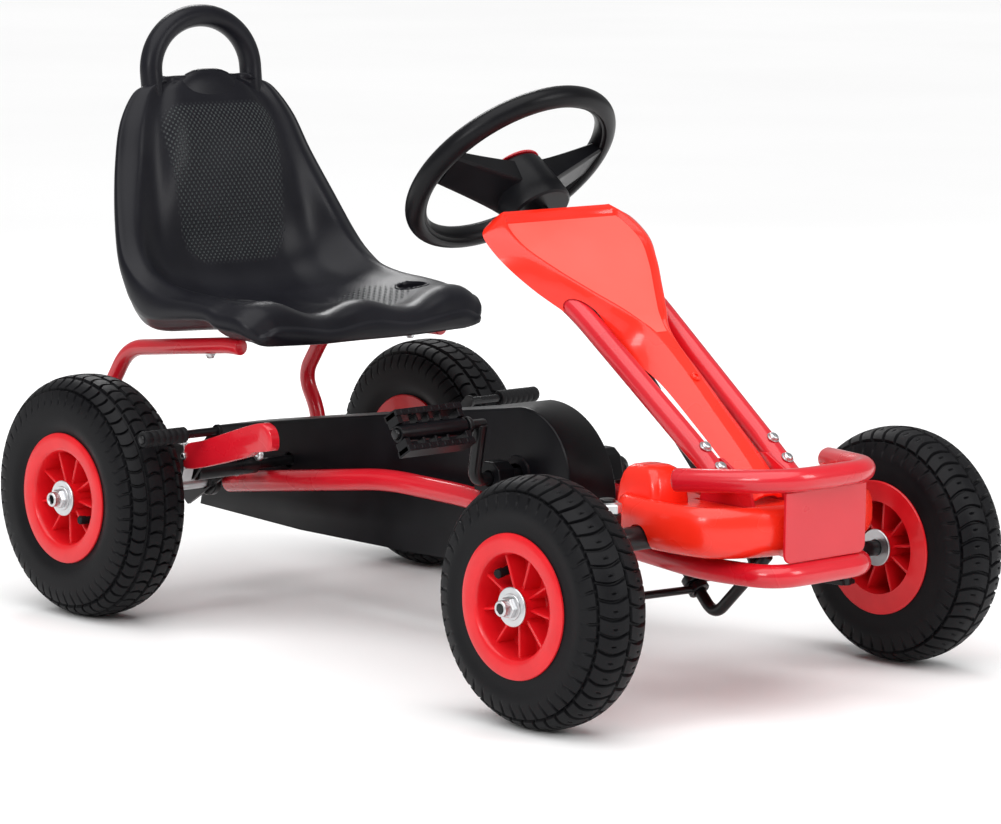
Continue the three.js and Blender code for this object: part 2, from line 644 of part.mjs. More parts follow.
function knuckle(side) {
  const y = side * KINGPIN_Y;
  const shoulder = side * (FRONT_TYRE.centreY + 36);
  const end = side * (FRONT_TYRE.centreY + 53);
  const kingpin = rod(V(FRONT_X, y, 88.5), V(FRONT_X, y, 212), AXLE_RADIUS);
  const stub = rod(V(FRONT_X, y, FRONT_Z), V(FRONT_X, shoulder, FRONT_Z), AXLE_RADIUS);
  const thread = rod(V(FRONT_X, y, FRONT_Z), V(FRONT_X, end, FRONT_Z), 6);
  const collar = rod(V(FRONT_X, y, 128), V(FRONT_X, y, 141.5), 13);
  const outline = [...arc(ARM_END.x, y, 14, 90, 270, 6), [FRONT_X + 6, y - 10], [FRONT_X + 6, y + 10]];
  const arm = plateXY(outline, ARM_END.z - 3, ARM_END.z + 2);
  const eye = bore(V(ARM_END.x, y, ARM_END.z - 3), V(ARM_END.x, y, ARM_END.z + 2), 9.5);
  return cut(join(kingpin, stub, thread, collar, arm), eye);
}

const kingpinNut = () => turnedUp([[9.7, 0], [15, 0], [15, 9], [9.7, 9], [9.7, 0]], 6);

// Tie rod: a ring on the crank's pin, a straight rod, and a bolt that drops through the knuckle's arm.
function tieRod(side) {
  const ringAt = side < 0 ? 34 : 45;
  const [low, high] = [pinAt(ringAt - 4), pinAt(ringAt + 4)];
  const centre = pinAt(ringAt);
  const end = V(ARM_END.x, side * (KINGPIN_Y), ARM_END.z + 8);
  const eyeSide = centre.clone().add(V(0, side * 9, 0));
  const ring = cut(rod(low, high, 11, 14), bore(low, high, 6.9));
  const bar = rod(eyeSide, end, 4, 8);
  const foot = rod(V(end.x, end.y, ARM_END.z + 3), V(end.x, end.y, end.z + 4), 8, 12);
  const bolt = rod(V(end.x, end.y, ARM_END.z - 8), V(end.x, end.y, end.z), 3.5, 10);
  return join(ring, bar, foot, bolt);
}

// ---- brake --------------------------------------------------------------------------
function brakeShaft() {
  const { x, z, barX, barZ, armY } = BRAKE;
  const shaft = rod(V(x, -armY - 6, z), V(x, armY + 6, z), 5.5, 12);
  const arms = [-1, 1].map((side) => {
    const inner = side * (armY - 15);
    const lean = Math.atan2(barZ - z, barX - x) * (180 / Math.PI);
    const outline = [...arc(x, z, 8, lean + 90, lean + 270, 5), ...arc(barX, barZ, 7, lean - 90, lean + 90, 5)];
    return plateXZ(outline, Math.min(inner, inner + side * 4), Math.max(inner, inner + side * 4));
  });
  const bars = [-1, 1].map((side) => rod(V(barX, side * (armY - 13), barZ), V(barX, side * 281, barZ), 4.5, 10));
  return join(shaft, ...arms, ...bars);
}

function brakePad(side) {
  const { barX, barZ } = BRAKE;
  const [inner, outer] = [V(barX, side * 223, barZ), V(barX, side * 279, barZ)];
  return cut(rod(inner, outer, 8.5, 12), bore(inner, outer, 5));
}

// Outlines in (x, z) of the lever's sleeve, of the tongue inside it and of the room for that tongue.
const SLEEVE = [
  [-263.5, 166], [-263.5, 191], [-229.5, 201.5], [-150, 227], [-130, 228], [-121, 219], [-120, 205],
  [-128, 201], [-150, 197], [-172, 188],
];
const TONGUE = [[-270, 172], [-270, 184], [-229.5, 194.5], [-150, 219], [-150, 206], [-172, 197]];
const TONGUE_ROOM = [
  [-272, 169.9], [-272, 185.1], [-229.5, 195.2], [-149, 219.8], [-149, 205.2], [-171.5, 196.2],
];
const LEVER_Y = { outer: -198, inner: -184, tongueOuter: -193, tongueInner: -189 };

function brakeLever() {
  const { x, z } = BRAKE;
  const { outer, inner, tongueOuter, tongueInner } = LEVER_Y;
  const bracket = [
    [x - 9, z - 4], [x - 10, 186], [x - 6, 192], [-264, 192], [-264, 166], [x + 6, z - 8], [x - 4, z - 9],
  ];
  const body = join(plateXZ(bracket, outer, inner), plateXZ(TONGUE, tongueOuter, tongueInner));
  return cut(body, bore(V(x, outer, z), V(x, inner, z), 6.1));
}

function brakeSleeve() {
  const { outer, inner, tongueOuter, tongueInner } = LEVER_Y;
  return cut(plateXZ(SLEEVE, outer, inner), plateXZ(TONGUE_ROOM, tongueOuter - 0.6, tongueInner + 0.6));
}

function brakeBearing(side) {
  const { x, z } = BRAKE;
  const [inner, outer] = [V(x, side * 92, z), V(x, side * 174, z)];
  return cut(rod(inner, outer, 9.5, 12), bore(inner, outer, 6.3));
}

// ---- fasteners ----------------------------------------------------------------------
// A round-headed bolt: head at the start point, shank towards the end point.
function bolt(from, to) {
  const along = to.clone().sub(from).normalize();
  const [top, middle] = [-3.5, -1.5].map((distance) => from.clone().addScaledVector(along, distance));
  return join(rod(top, from, 6, 10), rod(middle, to, 3, 8));
}

// ---- assembly -----------------------------------------------------------------------
kart.add(piece('main_frame_tube', mainFrameTube(), CRIMSON()));
kart.add(piece('bumper_upper_tube', upperBumper(), CRIMSON()));
kart.add(piece('bumper_plate', bumperPlate(), CRIMSON()));
kart.add(piece('front_axle_beam', frontBeam(), CRIMSON()));
kart.add(piece('seat_frame_tube', seatFrame(), CRIMSON()));
kart.add(piece('seat', seatShell(), BLACK_PLASTIC()));
kart.add(piece('chain_guard', chainGuard(), BLACK_PLASTIC()));
kart.add(piece('nose_tray', noseTray(), ORANGE_RED()));
kart.add(piece('front_panel', frontPanel(), ORANGE_RED()));
kart.add(piece('steering_bush_upper', upperSteeringBush(), BLACK_STEEL()));
kart.add(piece('drive_chain', chain(), ZINC()));

for (const [label, side] of [['right', -1], ['left', 1]]) {
  kart.add(piece(`axle_plate_${label}`, axlePlate(side), BLACK_STEEL()));
  kart.add(piece(`axle_bearing_${label}`, axleBearing(side), BLACK_STEEL()));
  kart.add(piece(`column_bracket_${label}`, columnBracket(side), CRIMSON()));
  kart.add(piece(`column_tube_${label}`, columnTube(side), CRIMSON()));
  kart.add(piece(`crank_bearing_${label}`, crankBearing(side), BLACK_PLASTIC()));
  kart.add(piece(`brake_bearing_${label}`, brakeBearing(side), CRIMSON()));
  kart.add(piece(`brake_pad_${label}`, brakePad(side), TYRE_BLACK()));
  kart.add(piece(`knuckle_${label}`, knuckle(side), BLACK_STEEL()));
  kart.add(piece(`tie_rod_${label}`, tieRod(side), BLACK_STEEL()));
  const nut = piece(`kingpin_nut_${label}`, kingpinNut(), ZINC());
  nut.position.set(FRONT_X, side * KINGPIN_Y, 198 + GAP);
  kart.add(nut);
  columnBolts(side).forEach(([from, to], i) => {
    kart.add(piece(`column_bolt_${label}_${i + 1}`, bolt(from, to), ZINC()));
  });

  const turningPedal = piece(`pedal_${label}`, pedal(), BLACK_PLASTIC());
  const spindle = crankEnd(side);
  turningPedal.position.set(spindle.x, side * CRANK.pedalY, spindle.z);
  turningPedal.rotation.y = side < 0 ? PEDAL.tilt : 0;
  kart.add(turningPedal);

  placeWheel(kart, `rear_${label}`, REAR_TYRE, REAR_X, side);
  placeWheel(kart, `front_${label}`, FRONT_TYRE, FRONT_X, side);
}

kart.add(piece('rear_axle', rearAxle(), ZINC()));
const rearSprocket = piece('rear_sprocket', sprocket(AXLE_TEETH, 15, AXLE_RADIUS + 0.6), BLACK_STEEL());
rearSprocket.position.set(REAR_X, CHAIN_Y, REAR_Z);
kart.add(rearSprocket);

kart.add(piece('crank', crank(), BLACK_STEEL()));
const chainring = piece('chainring', sprocket(CRANK_TEETH, 16, CRANK.rod + 0.6), BLACK_STEEL());
chainring.position.set(CRANK.x, CHAIN_Y, CRANK.z);
kart.add(chainring);

kart.add(piece('brake_shaft', brakeShaft(), BLACK_STEEL()));
kart.add(piece('brake_lever', brakeLever(), ZINC()));
kart.add(piece('brake_lever_sleeve', brakeSleeve(), CRIMSON()));

kart.add(piece('steering_shaft', steeringShaft(), BLACK_STEEL()));
const wheelHead = new THREE.Group();
wheelHead.position.copy(STEER_TOP);
wheelHead.rotation.y = -STEER_SLOPE;
wheelHead.add(piece('steering_wheel', steeringWheel(), BLACK_PLASTIC()));
wheelHead.add(piece('steering_hub_cap', steeringCap(), CRIMSON()));
kart.add(wheelHead);

export default kart;
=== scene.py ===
"""Looks for the pedal go kart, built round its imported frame.

Shapes are written in millimetres, in the row frame, and become metres when a piece is made.
"""

from math import atan2, cos, degrees, exp, hypot, pi, radians, sin

import bmesh
import bpy
import numpy as np
from mathutils import Matrix, Vector


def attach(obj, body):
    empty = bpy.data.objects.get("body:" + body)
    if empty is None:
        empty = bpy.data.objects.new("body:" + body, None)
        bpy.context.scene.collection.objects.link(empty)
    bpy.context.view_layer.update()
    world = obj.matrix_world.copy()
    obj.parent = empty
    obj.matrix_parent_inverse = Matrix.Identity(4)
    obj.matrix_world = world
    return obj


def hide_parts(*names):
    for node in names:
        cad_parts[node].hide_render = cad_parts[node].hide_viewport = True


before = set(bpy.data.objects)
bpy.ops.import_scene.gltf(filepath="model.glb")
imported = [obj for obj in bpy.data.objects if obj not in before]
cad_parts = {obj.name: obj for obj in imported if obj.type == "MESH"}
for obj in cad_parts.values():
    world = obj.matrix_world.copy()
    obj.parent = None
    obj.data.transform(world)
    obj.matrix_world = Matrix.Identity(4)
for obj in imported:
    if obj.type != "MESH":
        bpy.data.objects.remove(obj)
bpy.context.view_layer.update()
MM = 0.001
SIDES = (("right", -1), ("left", 1))


# ---- materials ----
def set_inputs(node, **values):
    """Sets sockets of a node; underscores in the keys stand for spaces."""
    for key, value in values.items():
        node.inputs[key.replace("_", " ")].default_value = value


def bump_of(nodes, links, height, depth):
    """A bump node for relief that is depth millimetres high."""
    bump = nodes.new("ShaderNodeBump")
    set_inputs(bump, Strength=1, Distance=depth * MM)
    links.new(height, bump.inputs["Height"])
    return bump


def finish_of(name, dark, light, rough, mottle, grain, relief, metallic=0,
              coat=0, specular=0.5, stretch=(1, 1, 1), dots=0, slot=None):
    """A procedural finish: a tint that drifts between two colours, uneven gloss and fine relief.

    mottle and grain are noise scales per metre; relief is the depth of the grain in millimetres;
    stretch squeezes the grain into brushed lines; dots is the depth of an embossed dot lattice
    where the mesh has a "dots" attribute, with a painted highlight on the dot tips; slot is the record's
    material, if it has another name.
    """
    made = bpy.data.materials.new(f"look_{name}")
    made["slot"] = slot or name
    made.use_nodes = True
    nodes, links = made.node_tree.nodes, made.node_tree.links
    shader = nodes["Principled BSDF"]
    set_inputs(shader, Metallic=metallic, Specular_IOR_Level=specular, Coat_Weight=coat,
               Coat_Roughness=0.06)
    place = nodes.new("ShaderNodeTexCoord")
    scaled = nodes.new("ShaderNodeMapping")
    set_inputs(scaled, Scale=stretch)
    links.new(place.outputs["Object"], scaled.inputs["Vector"])

    def noise(scale, detail, source):
        node = nodes.new("ShaderNodeTexNoise")
        set_inputs(node, Scale=scale, Detail=detail)
        links.new(source, node.inputs["Vector"])
        return node.outputs["Fac"]

    drift = noise(mottle, 4, place.outputs["Object"])
    fine = noise(grain, 3, scaled.outputs["Vector"])
    tint = nodes.new("ShaderNodeValToRGB")
    for stop, position, colour in zip(tint.color_ramp.elements, (0.36, 0.64), (dark, light)):
        stop.position, stop.color = position, (*colour, 1)
    links.new(drift, tint.inputs["Fac"])
    links.new(tint.outputs["Color"], shader.inputs["Base Color"])
    gloss = nodes.new("ShaderNodeMapRange")
    set_inputs(gloss, From_Min=0.3, From_Max=0.7, To_Min=rough[0], To_Max=rough[1])
    links.new(fine if max(stretch) > 1 else drift, gloss.inputs["Value"])
    links.new(gloss.outputs["Result"], shader.inputs["Roughness"])
    bump = bump_of(nodes, links, fine, relief)
    links.new(bump.outputs["Normal"], shader.inputs["Normal"])
    if dots:
        emboss(nodes, links, place, tint, bump, shader, dots)
    return made


DOT_PITCH, DOT_ROW_PITCH = 3, 4.4
# The dot tips' colour is a painted highlight: far lighter than the seat, it stands in for light caught on
# each dot.
DOT_PAINTED_HIGHLIGHT = (0.06, 0.07, 0.07, 1)


def emboss(nodes, links, place, tint, grain_bump, shader, depth):
    """Raised dots in staggered rows, where the "dots" attribute says and no further; their tips are
    painted lighter as painted highlights.
    """
    split = nodes.new("ShaderNodeSeparateXYZ")
    links.new(place.outputs["Object"], split.inputs["Vector"])

    def maths(operation, a, b):
        node = nodes.new("ShaderNodeMath")
        node.operation = operation
        for socket, value in zip(node.inputs, (a, b)):
            if isinstance(value, (int, float)):
                socket.default_value = value
            elif value is not None:
                links.new(value, socket)
        return node.outputs[0]

    def wave(value, spacing):
        return maths("COSINE", maths("MULTIPLY", value, pi / (spacing * MM)), None)

    rows = maths("SUBTRACT", split.outputs["Z"], split.outputs["X"])
    lattice = maths("MULTIPLY", wave(split.outputs["Y"], DOT_PITCH), wave(rows, DOT_ROW_PITCH))
    attribute = nodes.new("ShaderNodeAttribute")
    attribute.attribute_name = "dots"
    raised = maths("MULTIPLY", maths("MAXIMUM", lattice, 0), attribute.outputs["Fac"])
    bump = bump_of(nodes, links, raised, depth)
    links.new(grain_bump.outputs["Normal"], bump.inputs["Normal"])
    links.new(bump.outputs["Normal"], shader.inputs["Normal"])
    # The raised dot tips are painted lighter here: a painted highlight mixed into the base colour.
    mix = nodes.new("ShaderNodeMix")
    mix.data_type = "RGBA"
    share, base, painted_tip_highlight, blended = mix.inputs[0], mix.inputs[6], mix.inputs[7], mix.outputs[2]
    painted_tip_highlight.default_value = DOT_PAINTED_HIGHLIGHT
    links.new(raised, share)
    links.new(tint.outputs["Color"], base)
    links.new(blended, shader.inputs["Base Color"])


CRIMSON = finish_of(
    "crimson_paint", (0.60, 0.007, 0.018), (0.64, 0.010, 0.022), (0.26, 0.31),
    mottle=12, grain=420, relief=0.02, coat=0.5, specular=0.4)
ORANGE = finish_of(
    "gloss_red_plastic", (0.90, 0.022, 0.008), (0.94, 0.027, 0.011), (0.24, 0.3),
    mottle=9, grain=700, relief=0.015, coat=0.25, specular=0.4)
# The fairing's sunk face: the same gloss red plastic painted lighter and pinker, a painted reflection of
# the light falling on that face.
SHEEN_RED = finish_of(
    "painted_sheen_red_plastic", (0.92, 0.115, 0.085), (0.95, 0.13, 0.1), (0.34, 0.42),
    mottle=8, grain=800, relief=0.02, coat=0.2, slot="gloss_red_plastic")
RIM_RED = finish_of(
    "red_rim_plastic", (0.66, 0.006, 0.012), (0.72, 0.010, 0.016), (0.28, 0.36),
    mottle=40, grain=900, relief=0.02, coat=0.2, specular=0.35)
PLASTIC = finish_of(
    "black_plastic", (0.003, 0.003, 0.004), (0.005, 0.005, 0.0065), (0.3, 0.4),
    mottle=24, grain=1500, relief=0.03, specular=0.17)
SEAT = finish_of(
    "seat_plastic", (0.006, 0.006, 0.009), (0.0085, 0.0085, 0.012), (0.3, 0.4),
    mottle=16, grain=1300, relief=0.05, specular=0.2, dots=0.9, slot="black_plastic")
STEEL = finish_of(
    "black_painted_steel", (0.005, 0.005, 0.006), (0.008, 0.008, 0.009), (0.25, 0.38),
    mottle=35, grain=700, relief=0.03, coat=0.15, specular=0.25)
TYRE = finish_of(
    "tyre_rubber", (0.003, 0.003, 0.004), (0.006, 0.006, 0.007), (0.45, 0.6),
    mottle=28, grain=800, relief=0.14, specular=0.16)
RUBBER = finish_of(
    "brake_rubber", (0.005, 0.005, 0.006), (0.009, 0.009, 0.010), (0.5, 0.65),
    mottle=50, grain=600, relief=0.1, specular=0.16)
ZINC = finish_of(
    "zinc_plated_steel", (0.62, 0.63, 0.64), (0.7, 0.71, 0.72), (0.3, 0.42),
    mottle=18, grain=300, relief=0.006, metallic=1, stretch=(1, 7, 1))
# A near-black finish for the disc in the wheel nuts' bores: painted shade where the bore lies in shadow.
BORE_SHADE = finish_of(
    "painted_bore_shade", (0.002, 0.002, 0.003), (0.004, 0.004, 0.005), (0.7, 0.85),
    mottle=60, grain=700, relief=0.05, specular=0.1, slot="black_painted_steel")


# ---- shapes ----
def smooth_line(points, steps, closed=False):
    """Catmull-Rom line through rows of numbers, with that many steps between neighbours."""
    p = np.array(points, float)
    p = np.r_[p[-1:], p, p[:2]] if closed else np.r_[p[:1], p, p[-1:]]
    out = []
    for a, b, c, d in zip(p, p[1:], p[2:], p[3:]):
        for t in np.arange(steps) / steps:
            out.append(0.5 * (2 * b + (c - a) * t + (2 * a - 5 * b + 4 * c - d) * t * t
                              + (3 * b - a - 3 * c + d) * t ** 3))
    if not closed:
        out.append(p[-1])
    return np.array(out)


def bent_line(corners, bend, steps=9):
    """Straight runs between corners, with each inner corner rounded."""
    corners = [Vector(c) for c in corners]
    line = [corners[0]]
    for before, here, after in zip(corners, corners[1:], corners[2:]):
        back, on = before - here, after - here
        reach = min(bend, 0.45 * back.length, 0.45 * on.length)
        start, end = here + back.normalized() * reach, here + on.normalized() * reach
        for i in range(steps + 1):
            t = i / steps
            line.append(start * (1 - t) ** 2 + here * 2 * t * (1 - t) + end * t * t)
    return line + [corners[-1]]


def drill(radius, reach, centre, axis=(0, 1, 0), segments=40):
    """A round cutter that reaches as far to both sides of its centre."""
    return Shape().turned(
        [(0, -reach), (radius, -reach), (radius, reach), (0, reach)], centre, axis, segments)


def past(share, start):
    """How far a share has gone from the start to 1, as a share itself."""
    return max(0, (share - start) / (1 - start))


def hill(at, centre, width):
    return exp(-((at - centre) / width) ** 2)


def mirrored(points):
    """The points, followed by their mirror images in reverse order."""
    return [tuple(p) for p in points] + [(p[0], -p[1], p[2]) for p in reversed(points)]


def arc(cx, cy, radius, start, end, steps):
    """Points of an arc in a plane, with angles in degrees."""
    angles = np.radians(np.linspace(start, end, steps + 1))
    return [(cx + radius * cos(a), cy + radius * sin(a)) for a in angles]


class Shape:
    """Closed surfaces that together become one piece."""

    def __init__(self):
        self.verts, self.faces = [], []

    def add(self, verts, faces):
        base = len(self.verts)
        self.verts += [tuple(v) for v in verts]
        self.faces += [tuple(base + i for i in f) for f in faces]
        return self

    def rings(self, rings, looped=False):
        """A skin over rings of equally many points, capped at both ends or joined end to end."""
        n = len(rings[0])
        verts = [v for ring in rings for v in ring]
        faces = []
        for i in range(len(rings) if looped else len(rings) - 1):
            a, b = i * n, ((i + 1) % len(rings)) * n
            faces += [(a + j, a + (j + 1) % n, b + (j + 1) % n, b + j) for j in range(n)]
        if not looped:
            faces += [tuple(range(n))[::-1], tuple(range(len(verts) - n, len(verts)))]
        return self.add(verts, faces)

    def tube(self, corners, radius, bend=26, sides=28, edge=1.6, flat=None):
        """A round bar through corners, with softly rounded ends. flat presses its first run
        towards an oval: it is a list of (distance, squeeze, widen)."""
        line = bent_line(corners, bend) if len(corners) > 2 else [Vector(c) for c in corners]
        if flat:
            line = subdivided(line, 4, flat[-1][0])
        tangents = [(line[min(i + 1, len(line) - 1)] - line[max(i - 1, 0)]).normalized()
                    for i in range(len(line))]
        normal = tangents[0].orthogonal().normalized()
        if flat:
            normal = (Vector((0, 1, 0)) - tangents[0] * tangents[0].y).normalized()
        places, thins, wides = zip(*(flat or [(0, 1, 1)]))
        edge = min(edge, radius * 0.5)
        rounded = [(radius - edge + edge * cos(a), edge - edge * sin(a))
                   for a in map(radians, (90, 60, 30, 0))]
        rings, walked = [], 0
        for i, (point, along) in enumerate(zip(line, tangents)):
            normal = (normal - along * normal.dot(along)).normalized()
            across = along.cross(normal)
            walked += (point - line[i - 1]).length if i else 0
            wide, thin = np.interp(walked, places, wides), np.interp(walked, places, thins)
            ends = [(radius, 0)]
            if i == 0:
                ends = rounded
            elif i == len(line) - 1:
                ends = [(r, -h) for r, h in reversed(rounded)]
            for r, h in ends:
                rings.append([point + along * h + normal * (r * wide * cos(2 * pi * k / sides))
                              + across * (r * thin * sin(2 * pi * k / sides)) for k in range(sides)])
        return self.rings(rings)

    def turned(self, profile, origin=(0, 0, 0), axis=(0, 1, 0), segments=48, looped=False):
        """A profile of (radius, height) turned about an axis. Looped profiles make rings."""
        axis, origin = Vector(axis).normalized(), Vector(origin)
        u = axis.orthogonal().normalized() if abs(axis.x) > 0.9 else Vector((1, 0, 0))
        u = (u - axis * u.dot(axis)).normalized()
        v = axis.cross(u)
        rings = []
        for r, h in profile:
            rings.append([origin + axis * h + (u * cos(a) + v * sin(a)) * r
                          for a in (2 * pi * k / segments for k in range(segments))])
        return self.rings(rings, looped=looped)

    def bush(self, bore, radius, low, high, edge, origin=(0, 0, 0), axis=(0, 1, 0), segments=48):
        """A ring, or a disc without a bore, between two heights, with broken outer edges."""
        profile = [(bore, low), (radius - edge, low), (radius, low + edge), (radius, high - edge),
                   (radius - edge, high), (bore, high)]
        return self.turned(profile, origin, axis, segments, looped=bore > 0)

    def plate(self, outline, y0, y1, plane="xz"):
        """A flat plate whose outline lies in the xz or the xy plane."""
        def at(p, h):
            return (p[0], h, p[1]) if plane == "xz" else (p[0], p[1], h)
        return self.rings([[at(p, y0) for p in outline], [at(p, y1) for p in outline]])

    def block(self, low, high):
        (x0, y0, z0), (x1, y1, z1) = low, high
        return self.plate([(x0, z0), (x1, z0), (x1, z1), (x0, z1)], y0, y1)

    def moved(self, matrix):
        self.verts = [tuple(matrix @ Vector(v)) for v in self.verts]
        return self


def subdivided(line, step, until):
    """The line with extra points every step along its first stretch."""
    out, walked = [line[0]], 0
    for a, b in zip(line, line[1:]):
        length = (b - a).length
        count = max(1, int(length / step)) if walked < until else 1
        out += [a.lerp(b, (k + 1) / count) for k in range(count)]
        walked += length
    return out


def bolt_head(shape, centre, direction, radius, height, socket):
    """A domed head with a hexagon socket, on a thin washer."""
    dome = [(0, 0), (radius * 1.25, 0), (radius * 1.25, 0.9), (radius, 0.9), (radius, height * 0.45),
            (radius * 0.86, height * 0.8), (radius * 0.6, height), (socket, height)]
    shape.turned(dome + [(socket, height - 2.4), (0, height - 2.4)], centre, direction, 24)


def hexagon_nut(shape, centre, direction, radius, height, bore):
    """A hexagon nut with a rounded top and a threaded hole."""
    shape.turned([(bore, 0), (radius * 0.94, 0), (radius, 0.8), (radius, height - 1.2),
                  (radius * 0.9, height), (bore, height)], centre, direction, 6, looped=True)
    shape.turned([(bore - 0.6, height - 1), (radius * 0.74, height - 1), (radius * 0.72, height + 1.6),
                  (bore - 0.6, height + 1.6)], centre, direction, 28, looped=True)


def linked(name, data):
    made = bpy.data.objects.new(name, data)
    bpy.context.scene.collection.objects.link(made)
    return made


def mesh_object(name, shape):
    mesh = bpy.data.meshes.new(name)
    mesh.from_pydata([tuple(c * MM for c in v) for v in shape.verts], [], shape.faces)
    tidy = bmesh.new()
    tidy.from_mesh(mesh)
    bmesh.ops.remove_doubles(tidy, verts=tidy.verts, dist=1e-6)
    bmesh.ops.recalc_face_normals(tidy, faces=tidy.faces)
    tidy.to_mesh(mesh)
    tidy.free()
    return linked(name, mesh)


def carve(made, *cutters):
    """Cuts closed shapes out of an object."""
    for i, cutter in enumerate(cutters):
        tool = mesh_object(f"{made.name}_cutter_{i}", cutter)
        modifier = made.modifiers.new("cut", "BOOLEAN")
        modifier.object = tool
        modifier.solver = "EXACT"
        applied = made.evaluated_get(bpy.context.evaluated_depsgraph_get())
        made.data = bpy.data.meshes.new_from_object(applied)
        made.modifiers.clear()
        bpy.data.objects.remove(tool)
    return made


def merged(made, *others):
    """The first object with the meshes of the others added to it."""
    joined = bmesh.new()
    for o in (made, *others):
        joined.from_mesh(o.data)
    joined.to_mesh(made.data)
    joined.free()
    for o in others:
        bpy.data.objects.remove(o)
    return made


def soften(made, width):
    """Rounds the sharp edges by that width in millimetres."""
    soft = made.modifiers.new("edges", "BEVEL")
    soft.width = width * MM
    soft.segments = 2
    soft.limit_method = "ANGLE"
    soft.angle_limit = radians(32)
    return soft


def dress(made, look, nodes=(), body="chassis", bevel=0, sharp=38):
    """Shades an object, gives it its finish and lets it ride on its body."""
    mesh = made.data
    mesh.shade_smooth()
    mesh.set_sharp_from_angle(angle=radians(sharp))
    mesh.materials.clear()
    mesh.materials.append(look)
    if bevel:
        soften(made, bevel).harden_normals = True
    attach(made, body)
    if nodes:
        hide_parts(*nodes)
    return made


def piece(name, shape, look, nodes=(), body="chassis", bevel=0, sharp=38):
    return dress(mesh_object(name, shape), look, nodes, body, bevel, sharp)


# ---- frame ----
REAR_X, REAR_Z, REAR_Y = -366, 130, 244
FRONT_X, FRONT_Z, FRONT_Y = 351, 121.4, 252
KINGPIN_Y, BEAM_Z, BEAM = 168, 169, 12
CRANK_X, CRANK_Z, CRANK_THROW = 92, 190, 60
BRAKE_X, BRAKE_Z = -275, 159.5
SEAT_ARM_Y = 142
FLAT_Y, FLAT_HALF = 31.5, 2
PLATE_Y, PLATE_WALL = 86.85, 4
TUBE = 11.5
RAIL = [(-340, -75, 130.5), (-77.5, -75, 166.5), (50, -75, 165), (385, -72, 138), (478.5, -68, 141)]
COLUMN = {s: [(392, s * 46, 216), (190, s * 53, 367), (112, s * 60, 414)] for s in (-1, 1)}


def build_frame():
    piece("frame_lower_tube", Shape().tube(mirrored(RAIL), TUBE, bend=34), CRIMSON, ["main_frame_tube"])
    upper = [(380, -107.5, 227.5), (484.5, -62, 234)]
    piece("bumper_tube", Shape().tube(mirrored(upper), TUBE, bend=40, edge=3.5), CRIMSON,
          ["bumper_upper_tube"])
    low, high, half, corner = 153, 222, 56, 9
    outline = [(-half, high), (half, high)]
    outline += arc(half - corner, low + corner, corner, 0, -90, 6)
    outline += arc(-half + corner, low + corner, corner, -90, -180, 6)
    panel = Shape().rings([[(x, y, z) for y, z in outline] for x in (476.8, 480.4)])
    piece("bumper_front_plate", panel, CRIMSON, ["bumper_plate"], bevel=1)
    seat_side = [(x, -SEAT_ARM_Y, z) for x, z in ((-237, 294.5), (-258, 294.5), (-434, 274), (-474, 216),
                                                  (-450, 178), (-446, 140))]
    piece("seat_frame", Shape().tube(mirrored(seat_side), 8.8, bend=26), CRIMSON, ["seat_frame_tube"])
    beam = Shape().tube([(FRONT_X, -162, BEAM_Z), (FRONT_X, 162, BEAM_Z)], BEAM)
    for side in (-1, 1):
        beam.bush(8.8, 14, 142, 198, 1, (FRONT_X, side * KINGPIN_Y, 0), (0, 0, 1))
    beam.tube([steer_at(440), steer_at(492)], 13)
    piece("front_beam", beam, STEEL, ["front_axle_beam"])
    for label, side in SIDES:
        build_frame_side(label, side)
    strap = Shape().tube([(127, -46.5, 396), (127, 46.5, 396)], 8)
    strap.bush(11.8, 17, 122, 162, 1, STEER_TOP, STEER_DOWN)
    piece("steering_bush", strap, STEEL, ["steering_bush_upper"])
    fittings = Shape()
    for centre, direction in (((-262, -97, 171.5), (0.2, -1, 0.2)), ((-300, -97.5, 150), (0, -1, 0))):
        bolt_head(fittings, centre, direction, 5.2, 4, 2.4)
    piece("frame_bolts", fittings, ZINC)


